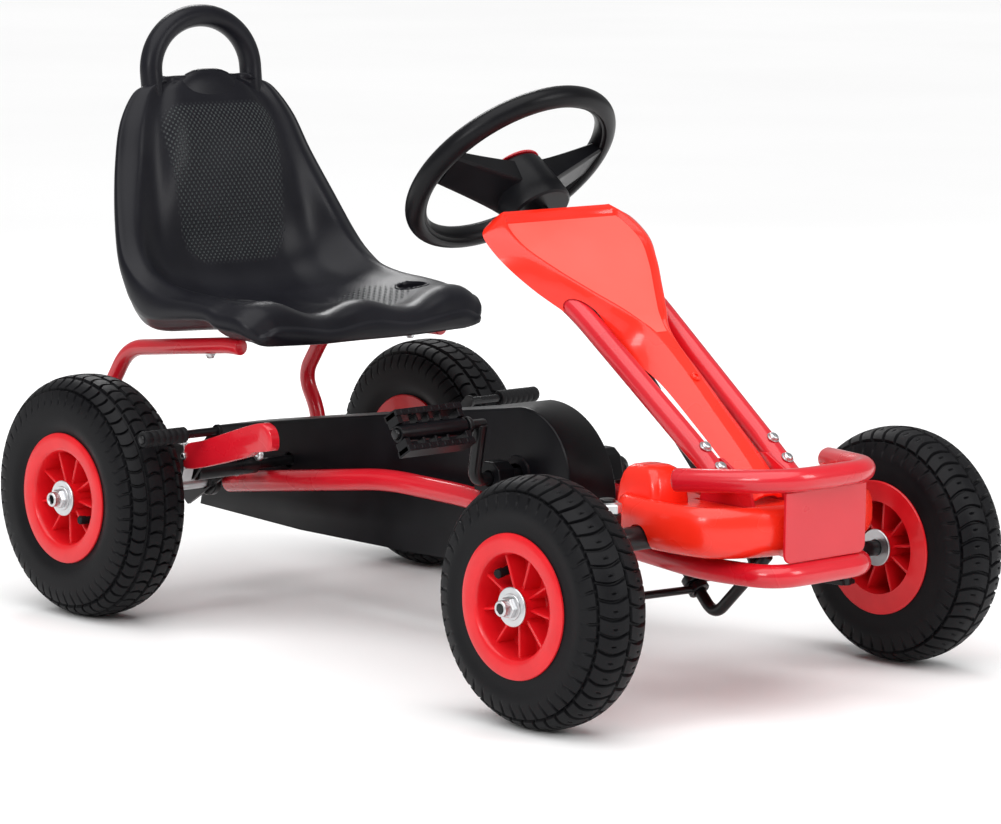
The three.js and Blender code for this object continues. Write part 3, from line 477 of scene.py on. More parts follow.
def build_frame_side(label, side):
    """A column tube with its bolts and flat, the brake bar's tube, and the axle and crank bearings."""
    shaft = Shape().tube(COLUMN[side], TUBE, bend=20, edge=2.5,
                         flat=[(0, 0.72, 1.12), (12, 0.78, 1.1), (34, 0.9, 1.05), (60, 1, 1)])
    piece(f"column_tube_{label}_smooth", shaft, CRIMSON, [f"column_tube_{label}"])
    foot, elbow = Vector(COLUMN[side][0]), Vector(COLUMN[side][1])
    along = (elbow - foot).normalized()
    square = Vector((0, 1, 0)).cross(along).normalized()
    for i, (distance, lift) in enumerate(((18, 9.3), (45, 10.8))):
        head = Shape()
        bolt_head(head, foot + along * distance + square * lift, square, 5.2, 4.4, 2.4)
        piece(f"column_screw_{label}_{i + 1}", head, ZINC, [f"column_bolt_{label}_{i + 1}"])
    bracket = Shape().plate([(338, 181.5), (420, 181.5), (407, 220), (370, 240), (352, 238)],
                            side * FLAT_Y - FLAT_HALF, side * FLAT_Y + FLAT_HALF)
    piece(f"column_flat_{label}", bracket, CRIMSON, [f"column_bracket_{label}"], bevel=0.7)
    bearing = Shape().bush(6.3, 9.5, 92, 174, 0.8, (BRAKE_X, 0, BRAKE_Z), (0, side, 0))
    piece(f"brake_tube_{label}", bearing, STEEL, [f"brake_bearing_{label}"])
    hub = Shape().bush(8.6, 17, 78, 86.5, 1, (REAR_X, 0, REAR_Z), (0, side, 0))
    piece(f"axle_bush_{label}", hub, STEEL, [f"axle_bearing_{label}"])
    outline = [(-318, 146), (-325, 160), (-400, 123), (-435.5, 150), (-435.5, 128), (-410, 112),
               (-394, 100)]
    y = side * PLATE_Y
    plate = mesh_object(f"axle_flat_{label}", Shape().plate(outline, y, y + side * PLATE_WALL))
    hole = drill(9.2, 8, (REAR_X, y, REAR_Z), segments=32)
    dress(carve(plate, hole), STEEL, [f"axle_plate_{label}"], bevel=0.7)
    outline = [(70, 175.8), (114, 174.4), (108, 200), (99, 207), (85, 207), (76, 200)]
    block = mesh_object(f"crank_block_{label}", Shape().plate(
        outline, *sorted((side * 64, side * 86))))
    hole = drill(7.6, 20, (CRANK_X, side * 75, CRANK_Z), segments=32)
    dress(carve(block, hole), PLASTIC, [f"crank_bearing_{label}"], bevel=1.6)


# ---- steering ----
STEER_TOP = Vector((27.5, 0, 497))
STEER_DOWN = Vector((1, 0, -1)).normalized()
STEER_LENGTH, STEER_CRANK = 515, 82.7
RING_RADIUS, RING_BAR, RING_FACETS = 109, 12.5, 40
SPOKE_START, SPOKE_END = 16, 102
ARM_END = (298, 92)


def steer_at(distance):
    return STEER_TOP + STEER_DOWN * distance


ARM_DOWN = Vector((-1, 0, -1)).normalized()
STEER_PIN = steer_at(STEER_LENGTH) + ARM_DOWN * STEER_CRANK


def build_steering():
    shaft = Shape().tube([steer_at(20), steer_at(300)], 11)
    pin_end = STEER_PIN - STEER_DOWN * 58
    foot = steer_at(STEER_LENGTH)
    shaft.tube([steer_at(290), foot, STEER_PIN, pin_end], 6, bend=16, sides=20)
    shaft.tube([foot, foot - ARM_DOWN * 18], 6, sides=20)
    piece("steering_column", shaft, STEEL, ["steering_shaft"], "steering")

    # its own frame: Z runs up the column to the driver, X to the top of the ring
    place = Matrix.Translation(STEER_TOP) @ Matrix.Rotation(-pi / 4, 4, "Y")
    section = []
    for k in range(RING_FACETS):
        a = 2 * pi * k / RING_FACETS
        r = RING_BAR - (1.5 if k in (14, 26, 27) else 0)  # thin grooves on the inner side
        section.append((RING_RADIUS + r * cos(a) * (0.74 if cos(a) < 0 else 1), r * sin(a) * 0.94))
    ring = Shape().turned(section, axis=(0, 0, 1), segments=144, looped=True)
    for side in (-1, 1):
        rows = []
        for t in np.linspace(0, 1, 14):
            y = SPOKE_START + (SPOKE_END - SPOKE_START) * t
            low, high = -31 + 23 * t ** 0.8, 25 + 9 * t
            top, thick = -9 + 12 * t ** 1.3, 33 - 20 * t ** 0.8
            rows.append(spoke_section(side * y, low, high, top, thick))
        ring.rings(rows)
        for x in (4, 20):
            ring.tube([(x * 0.7, side * 34, -33), (x, side * 98, -9.5)], 1.3, sides=12)
    ring.turned([(0, -4.2), (27, -4.2), (30, -6), (31.5, -9), (33, -22), (36, -42), (37, -56),
                 (36.4, -60), (34, -62), (12, -62)], axis=(0, 0, 1), segments=72)
    piece("steering_ring", ring.moved(place), PLASTIC, ["steering_wheel"], "steering", sharp=32)
    cap = Shape().turned([(0, -3.65), (30.2, -3.65), (31, -3), (30.8, -2), (28, -0.8), (24, -0.2),
                          (22, -0.5), (12, 0.2), (0, 0.4)], axis=(0, 0, 1), segments=64)
    piece("steering_cap", cap.moved(place), CRIMSON, ["steering_hub_cap"], "steering")
    for label, side in SIDES:
        build_knuckle(label, side)


def build_knuckle(label, side):
    """A stub axle on its kingpin, with the steering arm and the tie rod that reaches it."""
    body, y = f"knuckle_{label}", side * KINGPIN_Y
    turner = Shape().tube([(FRONT_X, y, 88.5), (FRONT_X, y, 212)], 8, sides=24)
    for start, end, radius in ((y, side * 288, 8), (side * 285, side * 305, 6)):
        turner.tube([(FRONT_X, start, FRONT_Z), (FRONT_X, end, FRONT_Z)], radius, sides=24)
    turner.bush(0, 13, 128, 141.5, 1, (FRONT_X, y, 0), (0, 0, 1))
    piece(f"stub_axle_{label}", turner, STEEL, [body], body)
    outline = [*arc(ARM_END[0], y, 14, 90, 270, 14), (FRONT_X + 6, y - 10), (FRONT_X + 6, y + 10)]
    arm = mesh_object(f"steering_arm_{label}", Shape().plate(outline, 89, 94, "xy"))
    eye = drill(9.5, 10, (ARM_END[0], y, 90), (0, 0, 1), 36)
    dress(carve(arm, eye), STEEL, body=body, bevel=0.8)
    nut = Shape()
    hexagon_nut(nut, (FRONT_X, y, 198.35), (0, 0, 1), 15, 9, 9.7)
    piece(f"kingpin_top_{label}", nut, ZINC, [f"kingpin_nut_{label}"], body)

    centre = STEER_PIN - STEER_DOWN * (34 if side < 0 else 45)
    link = Shape().bush(6.9, 11, -4, 4, 0.8, centre, STEER_DOWN)
    end = Vector((ARM_END[0], y, ARM_END[1] + 8))
    link.tube([centre + Vector((0, side * 9, 0)), end], 4, sides=20)
    link.turned([(0, 95), (7.4, 95), (8, 95.6), (8, 103), (7, 104), (0, 104)],
                (end.x, end.y, 0), (0, 0, 1))
    link.tube([(end.x, end.y, 84), (end.x, end.y, 100)], 3.5, sides=16, edge=1)
    piece(f"steering_link_{label}", link, STEEL, [f"tie_rod_{label}"], f"tie_rod_{label}")


def spoke_section(y, low, high, top, thick):
    """One section of a spoke: a shallow dish with rolled edges."""
    upper, lower, count = [], [], 14
    for k in range(count + 1):
        s = k / count
        x = low + (high - low) * s
        dish = 3 * sin(pi * s) ** 2
        roll = 2.6 * past(abs(2 * s - 1), 0.8) ** 2
        upper.append((x, y, top - dish - roll))
        lower.append((x, y, top - thick + roll))
    return upper + lower[::-1]


# ---- bodywork ----
def column_room(side):
    return Shape().tube(COLUMN[side], TUBE + 1.2, bend=20, sides=24)


def build_guard():
    near_y, far_y, wall = -45, 15, 3

    def outline(inset, share):
        fx, fz, fr = 98 - 16 * share, 189 - 23 * share, 71 + 24 * share
        end = -72 + 20 * share
        top = smooth_line([(-414 + inset, 172 - inset), (-396, 181 - inset), (-366, 189 - inset),
                           (0, 246 - inset)], 6)
        return [(-432 + inset, 91), *map(tuple, top), *arc(fx, fz, fr - inset, 92, end, 40),
                (0, 88), (-90, 86), (-255, 85)]

    rings = []
    for inset, y in ((3.4, near_y), (1.6, near_y + 0.5), (0.4, near_y + 1.7), (0, near_y + 3.4),
                     (0, far_y - 3.4), (0.4, far_y - 1.7), (1.6, far_y - 0.5), (3.4, far_y)):
        share = (y - near_y) / (far_y - near_y)
        rings.append([(x, y, z) for x, z in outline(inset, share)])
    guard = mesh_object("chain_case", Shape().rings(rings))
    mouth = [(60, 108), (60, 70), (-420, 70), (-420, 95)]
    inner = Shape().rings([[(x, y, z) for x, z in outline(wall, share)[1:-3] + mouth]
                           for y, share in ((near_y + wall, 0.05), (far_y - wall, 0.95))])
    holes = [drill(r, 90, (x, 0, z))
             for x, z, r in ((CRANK_X, CRANK_Z, 12), (REAR_X, REAR_Z, 13), (BRAKE_X, BRAKE_Z, 8.5))]
    dress(carve(guard, inner, *holes), PLASTIC, ["chain_guard"], sharp=30)
    collar = Shape()
    for y, out in ((near_y - 0.2, -1), (far_y + 0.2, 1)):
        collar.turned([(12, 0), (20, 0), (19, 2.4), (13, 3.2), (12, 3.2)], (CRANK_X, y, CRANK_Z),
                      (0, out, 0), looped=True)
    piece("chain_case_collars", collar, PLASTIC)


TRAY = [(276, 0), (276, 40), (284, 62), (299, 101), (320, 123), (360, 128), (402, 126), (434, 115),
        (456, 86), (469, 50), (474, 20)]


def build_tray():
    half = TRAY[1:]
    loop = smooth_line([(x, -y) for x, y in half] + [(x, y) for x, y in reversed(half)], 5, closed=True)
    centre = np.array([372, 0])
    direction = loop - centre
    reach = np.linalg.norm(direction, axis=1, keepdims=True)

    def ring(inset, z):
        inner = centre + direction / reach * np.maximum(reach - inset, 1)
        return [(x, y, z) for x, y in inner]

    skin = [(26, 154.5), (16, 157), (8, 161), (2.5, 167), (0, 175), (0, 188), (1.2, 196), (4, 202.5),
            (9, 206), (14, 206), (18.5, 203), (21, 199.5), (25, 197.6), (34, 196.6), (60, 196),
            (100, 195.6)]
    under = [(100, 192.6), (60, 193), (34, 193.4), (24, 193), (17, 190), (8, 189), (3.6, 184),
             (3.2, 176), (5.4, 169), (10.5, 164.5), (18, 160.4), (28, 157.6)]
    tray = mesh_object("nose_bowl", Shape().rings([ring(*r) for r in skin + under], looped=True))
    floor = mesh_object("nose_floor", Shape().rings([ring(98, 192.6), ring(98, 195.8)]))
    room = [column_room(-1), column_room(1)]
    blocks = []
    for side in (-1, 1):
        rings = []
        for grow, z in ((0, 190), (0, 200), (2, 215), (4.5, 224), (8, 229.5), (12, 232), (18, 232.8)):
            x0, x1 = 292 + grow, 350 - grow * 1.3
            y0, y1 = side * 76 - 26 + grow * 0.8, side * 76 + 24 - grow * 0.8
            rings.append([(x, y, z) for x, y in rounded_box(x0, x1, y0, y1, 9)])
        blocks.append(carve(mesh_object(f"nose_block_{side}", Shape().rings(rings)), column_room(side)))
    slots = [Shape().block((334, s * FLAT_Y - 3.5, 150), (428, s * FLAT_Y + 3.5, 260)) for s in (-1, 1)]
    rails = Shape().tube(mirrored(RAIL), TUBE + 1.4, bend=34, sides=24)
    beam = Shape().tube([(FRONT_X, -150, BEAM_Z), (FRONT_X, 150, BEAM_Z)], BEAM + 1.5)
    shaft = Shape().tube([steer_at(300), steer_at(520)], 16)
    tray = carve(tray, *room, rails, beam, shaft, *slots)
    floor = carve(floor, *room, shaft, *slots)
    dress(merged(tray, floor, *blocks), ORANGE, ["nose_tray"], sharp=34)


def rounded_box(x0, x1, y0, y1, corner):
    left, right, low, high = x0 + corner, x1 - corner, y0 + corner, y1 - corner
    points = []
    for x, y, start in ((right, high, 0), (left, high, 90), (left, low, 180), (right, low, 270)):
        points += arc(x, y, corner, start, start + 90, 6)
    return points


PANEL = [  # x and z of the face, its half width, then the depth and flare of the sides
    (97, 461, 74, 14, 12), (112, 450, 86, 13, 22), (140, 431, 88, 18, 18), (170, 410, 72, 26, 14),
    (200, 389, 50, 30, 13), (228, 370, 29, 33, 14), (252, 350, 12, 30, 19), (290, 318, 8, 18, 21),
    (335, 278, 8, 13, 20), (374, 244, 9, 11, 18), (396, 222, 9, 10, 16), (405, 206, 8, 7, 14),
]
PANEL_LEAN, PANEL_SINK, PANEL_RIM, PANEL_WALL = 0.61, 4.2, 6.5, 2.8


def build_panel():
    """A hood with a sunk face, narrowing to a ridge, and an inlay that fills the sunk face, painted
    lighter as a painted reflection.
    """
    down = Vector((-sin(PANEL_LEAN), 0, -cos(PANEL_LEAN)))
    start_x, start_z = PANEL[0][:2]
    rings, inlay = [], []
    for x, z, w, depth, flare in smooth_line(PANEL, 10):
        from_top = hypot(x - start_x, z - start_z)
        sink = PANEL_SINK * min(1, max(0, (from_top - 6) / 4)) * min(1, max(0, (w - 9) / 18))
        rim = PANEL_RIM * min(1, w / 30)
        half = [
            (w + flare, depth), (w + flare * 0.72, depth * 0.62), (w + flare * 0.36, depth * 0.24),
            (w + 1.4, 0.9), (w - 0.6, -0.2), (w - rim * 0.6, -0.1), (w - rim, sink * 0.5),
            (w - rim - 1.6, sink), ((w - rim) * 0.5, sink), (0, sink),
        ]
        outer = [(-y, d) for y, d in half] + list(reversed(half[:-1]))
        inner = [(y * (1 - 3.2 / max(w + flare, 12)), d + PANEL_WALL) for y, d in outer]
        for end in (0, -1):
            inner[end] = (inner[end][0], depth - 0.2)
        loop = outer + inner[::-1]
        if from_top > 12 and w - rim > 9:
            a = w - rim - 2.2
            flat = ((-a, sink - 0.35), (a, sink - 0.35), (a, sink + 1), (-a, sink + 1))
            inlay.append([Vector((x, y, z)) + down * d for y, d in flat])
        rings.append([Vector((x, y, z)) + down * d for y, d in loop])
    panel = mesh_object("front_fairing", Shape().rings(rings))
    carve(panel, column_room(-1), column_room(1))
    dress(panel, ORANGE, ["front_panel"], sharp=34)
    # The inlay's lighter, pinker red is a painted reflection on the sunk face.
    piece("fairing_face_painted_sheen", Shape().rings(inlay), SHEEN_RED)
    screw = Shape()
    bolt_head(screw, (300, 0, 309.6), (0.62, 0, 0.78), 4.4, 2.6, 2)
    piece("fairing_screw", screw, ORANGE)


# ---- seat ----
SEAT_ROWS = [  # face x z, back x z, rim x z, lower rim x z, half width
    (-472, 561, -487, 557, -476, 560, -486, 557, 74),
    (-466, 550, -488, 545, -475, 551, -487, 547, 98),
    (-450, 520, -478, 516, -466, 520, -481, 516, 122),
    (-438, 478, -467, 474, -453, 479, -470, 473, 138),
    (-432, 430, -460, 424, -431, 433, -450, 421, 155),
    (-427, 388, -456, 374, -406, 391, -429, 371, 168),
    (-412, 352, -445, 330, -382, 373, -416, 340, 172),
    (-382, 332, -410, 305, -350, 361, -403, 315, 174),
    (-340, 325, -350, 300, -318, 355, -376, 299.5, 175),
    (-295, 325, -295, 304, -282, 351, -302, 308, 175),
    (-264, 329, -263, 307, -256, 347, -263, 312, 175),
    (-240, 333, -240, 303, -238, 344, -244, 304, 174),
    (-214, 338, -214, 301, -212, 342, -214, 302.5, 171.5),
    (-196, 332, -200, 297, -196, 333, -200, 299.5, 166),
    (-187, 318, -191, 297, -188, 318, -192, 300, 157),
]
SLOT_X, SLOT_Y, SLOT_LENGTH, SLOT_WIDTH = -266, 123, 23, 11
HANDLE_Y, HANDLE_Z, HANDLE_RISE, HANDLE_BAR = 70.5, 571, 60, 12.5
DOME_X, DOME_Z, DOME_HEIGHT = -473, 543, 30


def build_seat():
    """A shell from two skins that meet in a rolled edge, with its handle, dome, slots and bolts.

    Across a row, v runs from -1 to 1. Out leads from the flat middle to the raised rim, sunk makes
    the hollows under the thighs, and swell the bolsters and the groove beside them.
    """
    rows = smooth_line(SEAT_ROWS, 9)
    across = np.linspace(-1, 1, 61)
    along = np.linspace(0, len(SEAT_ROWS) - 1, len(rows))
    rings, top = [], []
    for place, row in zip(along, rows):
        fx, fz, bx, bz, rx, rz, lx, lz, w = row
        thighs = sin(pi * min(1, max(0, (place - 7.2) / 8))) ** 0.8
        upper, lower = [], []
        for v in across:
            share = abs(v)
            out = past(share, 0.4) ** 1.35
            sunk = 5.8 * thighs * (cos(2 * pi * v / 0.74) - 1) * (share < 0.74)
            swell = 4.5 * thighs * hill(share, 0.74, 0.16)
            swell += (1 - thighs) * (2.6 * hill(share, 0.88, 0.07) - 3.4 * hill(share, 0.68, 0.1))
            roll = 0.26 * past(share, 0.86) ** 2
            u = np.array((fx + (rx - fx) * out, w * 0.965 * v, fz + (rz - fz) * out + sunk))
            d = np.array((bx + (lx - bx) * out, w * 0.965 * v, bz + (lz - bz) * out))
            u = u + (u - d) / np.linalg.norm(u - d) * swell
            upper.append(tuple(u + (d - u) * roll))
            lower.append(tuple(d + (u - d) * roll))
        top += upper
        rings.append(upper + rolled(upper[-1], lower[-1], w) + lower[::-1]
                     + rolled(lower[0], upper[0], -w))
    rings = end_roll(rings[0], (0.12, 0, 1), 7)[::-1] + rings + end_roll(rings[-1], (1, 0, -0.15), 8)
    shell = mesh_object("bucket_seat", Shape().rings(rings))
    slots = []
    for side in (-1, 1):
        grow = Matrix.Translation((SLOT_X, side * SLOT_Y, 340)) @ Matrix.Diagonal(
            (SLOT_LENGTH, SLOT_WIDTH, 1, 1))
        slots.append(drill(1, 60, (0, 0, 0), (0, 0, 1)).moved(grow))
    shell = carve(shell, *slots)
    shell = merged(shell, mesh_object("seat_handle", handle_shape()))
    mark_dots(shell.data)
    dress(shell, SEAT, ["seat"], sharp=50)
    piece("seat_slot_lips", slot_lips(np.array(top)), SEAT)
    bolts = Shape()
    for y in (-SEAT_ARM_Y, SEAT_ARM_Y):
        bolt_head(bolts, (-290, y, 281.5), (0.12, 0, -1), 4.6, 4.4, 2.2)
    piece("seat_bolts", bolts, ZINC)


def handle_shape():
    """The arched handle, and the low dome between its feet."""
    made, rings = Shape(), []
    for k in range(1, 16):
        t = pi * k / 16
        z, r = DOME_Z + DOME_HEIGHT * -cos(t), sin(t) ** 0.8
        rings.append([(DOME_X + 10.5 * r * cos(a) - 0.13 * (z - DOME_Z), 46 * r * sin(a), z)
                      for a in np.linspace(0, 2 * pi, 40, endpoint=False)])
    made.rings(rings)
    arch = [(-486 - 4 * sin(a), -HANDLE_Y * cos(a), HANDLE_Z + HANDLE_RISE * sin(a))
            for a in np.linspace(0, pi, 33)]
    made.tube([(-481, -70, 530), *arch, (-481, 70, 530)], HANDLE_BAR, bend=4, edge=5)
    return made


def slot_lips(top):
    """Raised lips round both slots, at the height of the seat's face beside them."""
    lips = Shape()
    for side in (-1, 1):
        rings = []
        for grow, lift in ((0.93, -2.5), (1.1, -2.5), (1.16, -0.6), (1.1, 0.9), (0.99, 1), (0.93, -0.2)):
            ring = []
            for a in np.linspace(0, 2 * pi, 48, endpoint=False):
                x = SLOT_X + SLOT_LENGTH * grow * cos(a)
                y = side * SLOT_Y + SLOT_WIDTH * grow * sin(a)
                nearest = np.argsort((top[:, 0] - x) ** 2 + (top[:, 1] - y) ** 2)[:4]
                ring.append((x, y, top[nearest, 2].mean() + lift))
            rings.append(ring)
        lips.rings(rings, looped=True)
    return lips


def end_roll(ring, outward, reach):
    """Rings that round off the end of the shell beyond its last section."""
    points = np.array(ring)
    half = len(points) // 2
    partner = np.r_[points[half:][::-1], points[:half][::-1]]
    middle = (points + partner) / 2
    rings = []
    for t in np.radians((25, 48, 68, 84)):
        closer = middle + (points - middle) * cos(t)
        closer[:, 1] *= 1 - 0.05 * (1 - cos(t))
        rings.append([tuple(p) for p in closer + np.array(outward) * reach * sin(t)])
    return rings


def rolled(start, end, w):
    """The rounded edge between the upper and the lower skin."""
    mid = [(a + b) / 2 for a, b in zip(start, end)]
    half = [(a - b) / 2 for a, b in zip(start, end)]
    points = []
    for t in np.radians((25, 55, 90, 125, 155)):
        bulge = (w - mid[1]) * sin(t) ** 0.7
        points.append((mid[0] + half[0] * cos(t), mid[1] + bulge, mid[2] + half[2] * cos(t)))
    return points


def mark_dots(mesh):
    """Where the seat's dotted zones are: one on the back and two under the thighs."""
    def of_vertices(key):
        values = np.zeros(len(mesh.vertices) * 3)
        mesh.vertices.foreach_get(key, values)
        return values.reshape(-1, 3).T

    x, y, z = of_vertices("co") / MM
    nx, _, nz = of_vertices("normal")

    def zone(u, v, cu, cv, hu, hv, corner):
        du = np.maximum(np.abs(u - cu) - hu + corner, 0)
        dv = np.maximum(np.abs(v - cv) - hv + corner, 0)
        return np.clip((corner - np.hypot(du, dv)) / 3, 0, 1)

    back = zone(y / (0.84 + (z - 380) / 160 * 0.14), z, 0, 449, 84, 87, 34) * (nx > 0.3) * (z < 545)
    pan = sum(zone(x, y, -292, side * 84, 44, 34, 20) for side in (-1, 1)) * (nz > 0.5)
    dots = mesh.attributes.new("dots", "FLOAT", "POINT")
    dots.data.foreach_set("value", np.clip(back + pan * 0.7, 0, 1).astype(np.float32))


# ---- wheels ----
def tyre_shape(radius, half, pitches, chevron):
    """A tyre in its own frame, turned about Y, with its tread blocks cut into the mesh."""
    outer = [(54, 34.6), (60, 35.6), (70, 36), (80, half - 0.9), (90, half), (radius - 24, half - 1.4),
             (radius - 13, half - 6), (radius - 5.4, half - 14), (radius - 1.5, half - 24),
             (radius - 0.2, half - 34), (radius, 0)]
    line = smooth_line(outer + [(r, -y) for r, y in reversed(outer[:-1])], 14)
    steps = np.r_[0, np.cumsum(np.hypot(*np.diff(line, axis=0).T))]
    total = steps[-1]
    count = 92
    bent = np.linspace(-1, 1, count)
    even = total * (0.5 + 0.5 * (0.68 * bent + 0.32 * np.sign(bent) * np.abs(bent) ** 2.4))
    r, y = np.interp(even, steps, line[:, 0]), np.interp(even, steps, line[:, 1])
    tangent = np.gradient(np.c_[r, y], axis=0)
    sideways, inward = abs(tangent / np.linalg.norm(tangent, axis=1, keepdims=True)).T
    per = 12
    columns = np.arange(pitches * per)
    girth = np.abs(even - total / 2)
    edge = half - (3 if chevron else 2)
    rings = []
    width = edge if chevron else edge / 2
    depth = np.zeros((len(r), len(columns)))
    warp = np.zeros(len(r))
    for i, g in enumerate(girth):
        side = 1 if even[i] > total / 2 else -1
        row = int(g // width)
        inside = g / width - row
        shift = (0 if side > 0 else per // 2) + (per // 2) * (row % 2)
        phase = (columns + shift) % per
        cross = np.isin(phase, (0, 1))
        if g < edge:
            gap = min(g - row * width, (row + 1) * width - g)
            depth[i, cross] = 3.2
            if gap < (1.5 if row == 0 and g < width / 2 or not chevron else 1.9):
                depth[i, :] = 3.2
            if chevron and 0.42 < inside < 0.58:
                depth[i, phase == 7] = 2
            bow = sin(pi * inside)
            warp[i] = (5.2 * bow if chevron else 4 * (bow - 0.5) * (1 if row % 2 else -1)) / radius
        elif g < edge + 17:
            fade = 1 - (g - edge) / 17
            depth[i, cross] = 2.4 * fade + 0.4
            warp[i] = 3 * (g - edge) / 17 / radius
            if g - edge < 1.8:
                depth[i, :] = np.maximum(depth[i, :], 1.6)

    def ring(radii, heights, twist=0):
        angle = 2 * pi * columns / len(columns) + twist
        heights = np.broadcast_to(heights, angle.shape)
        rings.append(np.c_[radii * np.cos(angle), heights, radii * np.sin(angle)])

    for i in range(len(r)):
        ring(r[i] - depth[i] * inward[i], y[i] - np.sign(y[i]) * depth[i] * sideways[i], warp[i])
    for rr, yy in ((56, -30), (radius - 12, -half + 26), (radius - 12, half - 26), (56, 30)):
        ring(rr, yy)
    return Shape().rings([list(map(tuple, ring)) for ring in rings], looped=True)


def rim_shape():
    out = 38.6
    profile = [(8.6, -36), (16.4, -36), (17, -35.4), (17, 5), (48, 5), (48, -out), (68, -out), (69, -37.6),
               (69, -36.4), (52, -35), (52, 34.8), (66, 35), (69.4, 35.6), (70, 36.8), (69.6, 38.2),
               (67.6, 39.2), (62, 39.4), (54.5, 39.1), (51.8, 38.2), (50.4, 36.2), (49.2, 30), (48.2, 9.6),
               (47.4, 8.8), (18, 9), (17, 10), (17, 35.2), (16.2, 36), (8.6, 36)]
    rim = Shape().turned(profile, segments=96, looped=True)
    for k in range(9):
        turn = Matrix.Rotation(radians(32 + 40 * k), 4, "Y")
        for reach, heights in ((49.5, (8.5, 28, 29.4, 29.8)), (48.6, (5.4, -28, -29.4, -29.8))):
            spoke = Shape().rings([
                [(16, y, half), (reach, y, half * 1.2), (reach, y, -half * 1.2), (16, y, -half)]
                for y, half in zip(heights, (1.7, 1.35, 0.9, 0.3))])
            rim.add(spoke.moved(turn).verts, spoke.faces)
    return rim


def build_wheel(label, tyre, x, y, side, wheel_body, nut_body, valve_turn):
    place = Matrix.Translation((x, side * y, tyre["radius"]))
    if side < 0:
        place = place @ Matrix.Rotation(pi, 4, "X")
    rubber = tyre_shape(**tyre).moved(place)
    piece(f"rubber_{label}", rubber, TYRE, [f"tyre_{label}"], wheel_body, sharp=44)
    piece(f"hub_{label}", rim_shape().moved(place), RIM_RED, [f"rim_{label}"], wheel_body, sharp=40)
    nut = Shape().bush(6.4, 19, 36.4, 39, 0.6, segments=56)
    nut.turned([(6.4, 39), (12.5, 39), (12.9, 39.5), (12.5, 40.2), (6.4, 40.2)], segments=40, looped=True)
    hexagon_nut(nut, (0, 40, 0), (0, 1, 0), 10.5, 6, 6.4)
    nut.turned([(4.6, 46.5), (7.2, 46.5), (7.8, 47.2), (7.8, 52.6), (7.1, 53.4), (5.4, 53.4), (4.6, 52)],
               segments=40, looped=True)
    piece(f"nut_{label}", nut.moved(place), ZINC, [f"wheel_nut_{label}"], nut_body, sharp=35)
    washer = Shape().bush(8.7, 19, -38.6, -36.2, 0.6, segments=56)
    piece(f"inner_washer_{label}", washer.moved(place), ZINC, body=wheel_body, sharp=35)
    # A near-black disc fills the cap nut's bore over the axle end: painted shade.
    dark = Shape().turned([(0, 46.6), (4.7, 46.6), (4.7, 51.2), (0, 51.2)], segments=24)
    piece(f"axle_mouth_{label}", dark.moved(place), BORE_SHADE, body=nut_body)
    turn = Matrix.Rotation(valve_turn, 4, "Y")
    valve = Shape().turned([(0, 0), (6.6, 0), (6.2, 3), (4.6, 6), (4.3, 17), (3.9, 22), (4.6, 22.6),
                            (4.6, 29), (3.6, 30), (0, 30)], (40, 8.5, 0), (-0.16, 1, 0), segments=28)
    piece(f"valve_{label}", valve.moved(place @ turn), RUBBER, body=wheel_body)


REAR_TYRE = {"radius": 130, "half": 41, "pitches": 52, "chevron": False}
FRONT_TYRE = {"radius": 121.4, "half": 37, "pitches": 44, "chevron": True}


def build_wheels():
    for label, side in SIDES:
        rear_valve, front_valve = (radians(-34), radians(127)) if side < 0 else (0.5, 2.1)
        build_wheel(f"rear_{label}", REAR_TYRE, REAR_X, REAR_Y, side, "rear_axle", "rear_axle",
                    rear_valve)
        build_wheel(f"front_{label}", FRONT_TYRE, FRONT_X, FRONT_Y, side,
                    f"front_wheel_{label}", f"knuckle_{label}", front_valve)
    axle = Shape().tube([(REAR_X, -280, REAR_Z), (REAR_X, 280, REAR_Z)], 8)
    axle.tube([(REAR_X, -291, REAR_Z), (REAR_X, 291, REAR_Z)], 6)
    piece("live_axle", axle, ZINC, ["rear_axle"], "rear_axle")


# ---- crank and brake ----
def crank_end(side):
    a = radians(80)
    return (CRANK_X - side * CRANK_THROW * cos(a), CRANK_Z - side * CRANK_THROW * sin(a))


def build_crank():
    (rx, rz), (lx, lz) = crank_end(-1), crank_end(1)
    bar = Shape().tube(
        [(rx, -106, rz), (CRANK_X, -106, CRANK_Z), (CRANK_X, 106, CRANK_Z), (lx, 106, lz)], 7, bend=14)
    for side in (-1, 1):
        x, z = crank_end(side)
        bar.tube([(x, side * 101, z), (x, side * 222, z)], 5, sides=20)
        bar.turned([(0, 0), (8.4, 0), (9, 0.8), (9, 4.4), (8.2, 5.2), (0, 5.2)], (x, side * 122, z),
                   (0, side, 0), segments=28)
    piece("crank_bar", bar, STEEL, ["crank"], "crankset")
    for label, side in SIDES:
        x, z = crank_end(side)
        place = Matrix.Translation((x, side * 174, z))
        if side < 0:
            place = place @ Matrix.Rotation(1, 4, "Y")
        name = f"pedal_{label}"
        piece(f"foot_{name}", pedal_shape().moved(place), PLASTIC, [name], name, bevel=0.8)


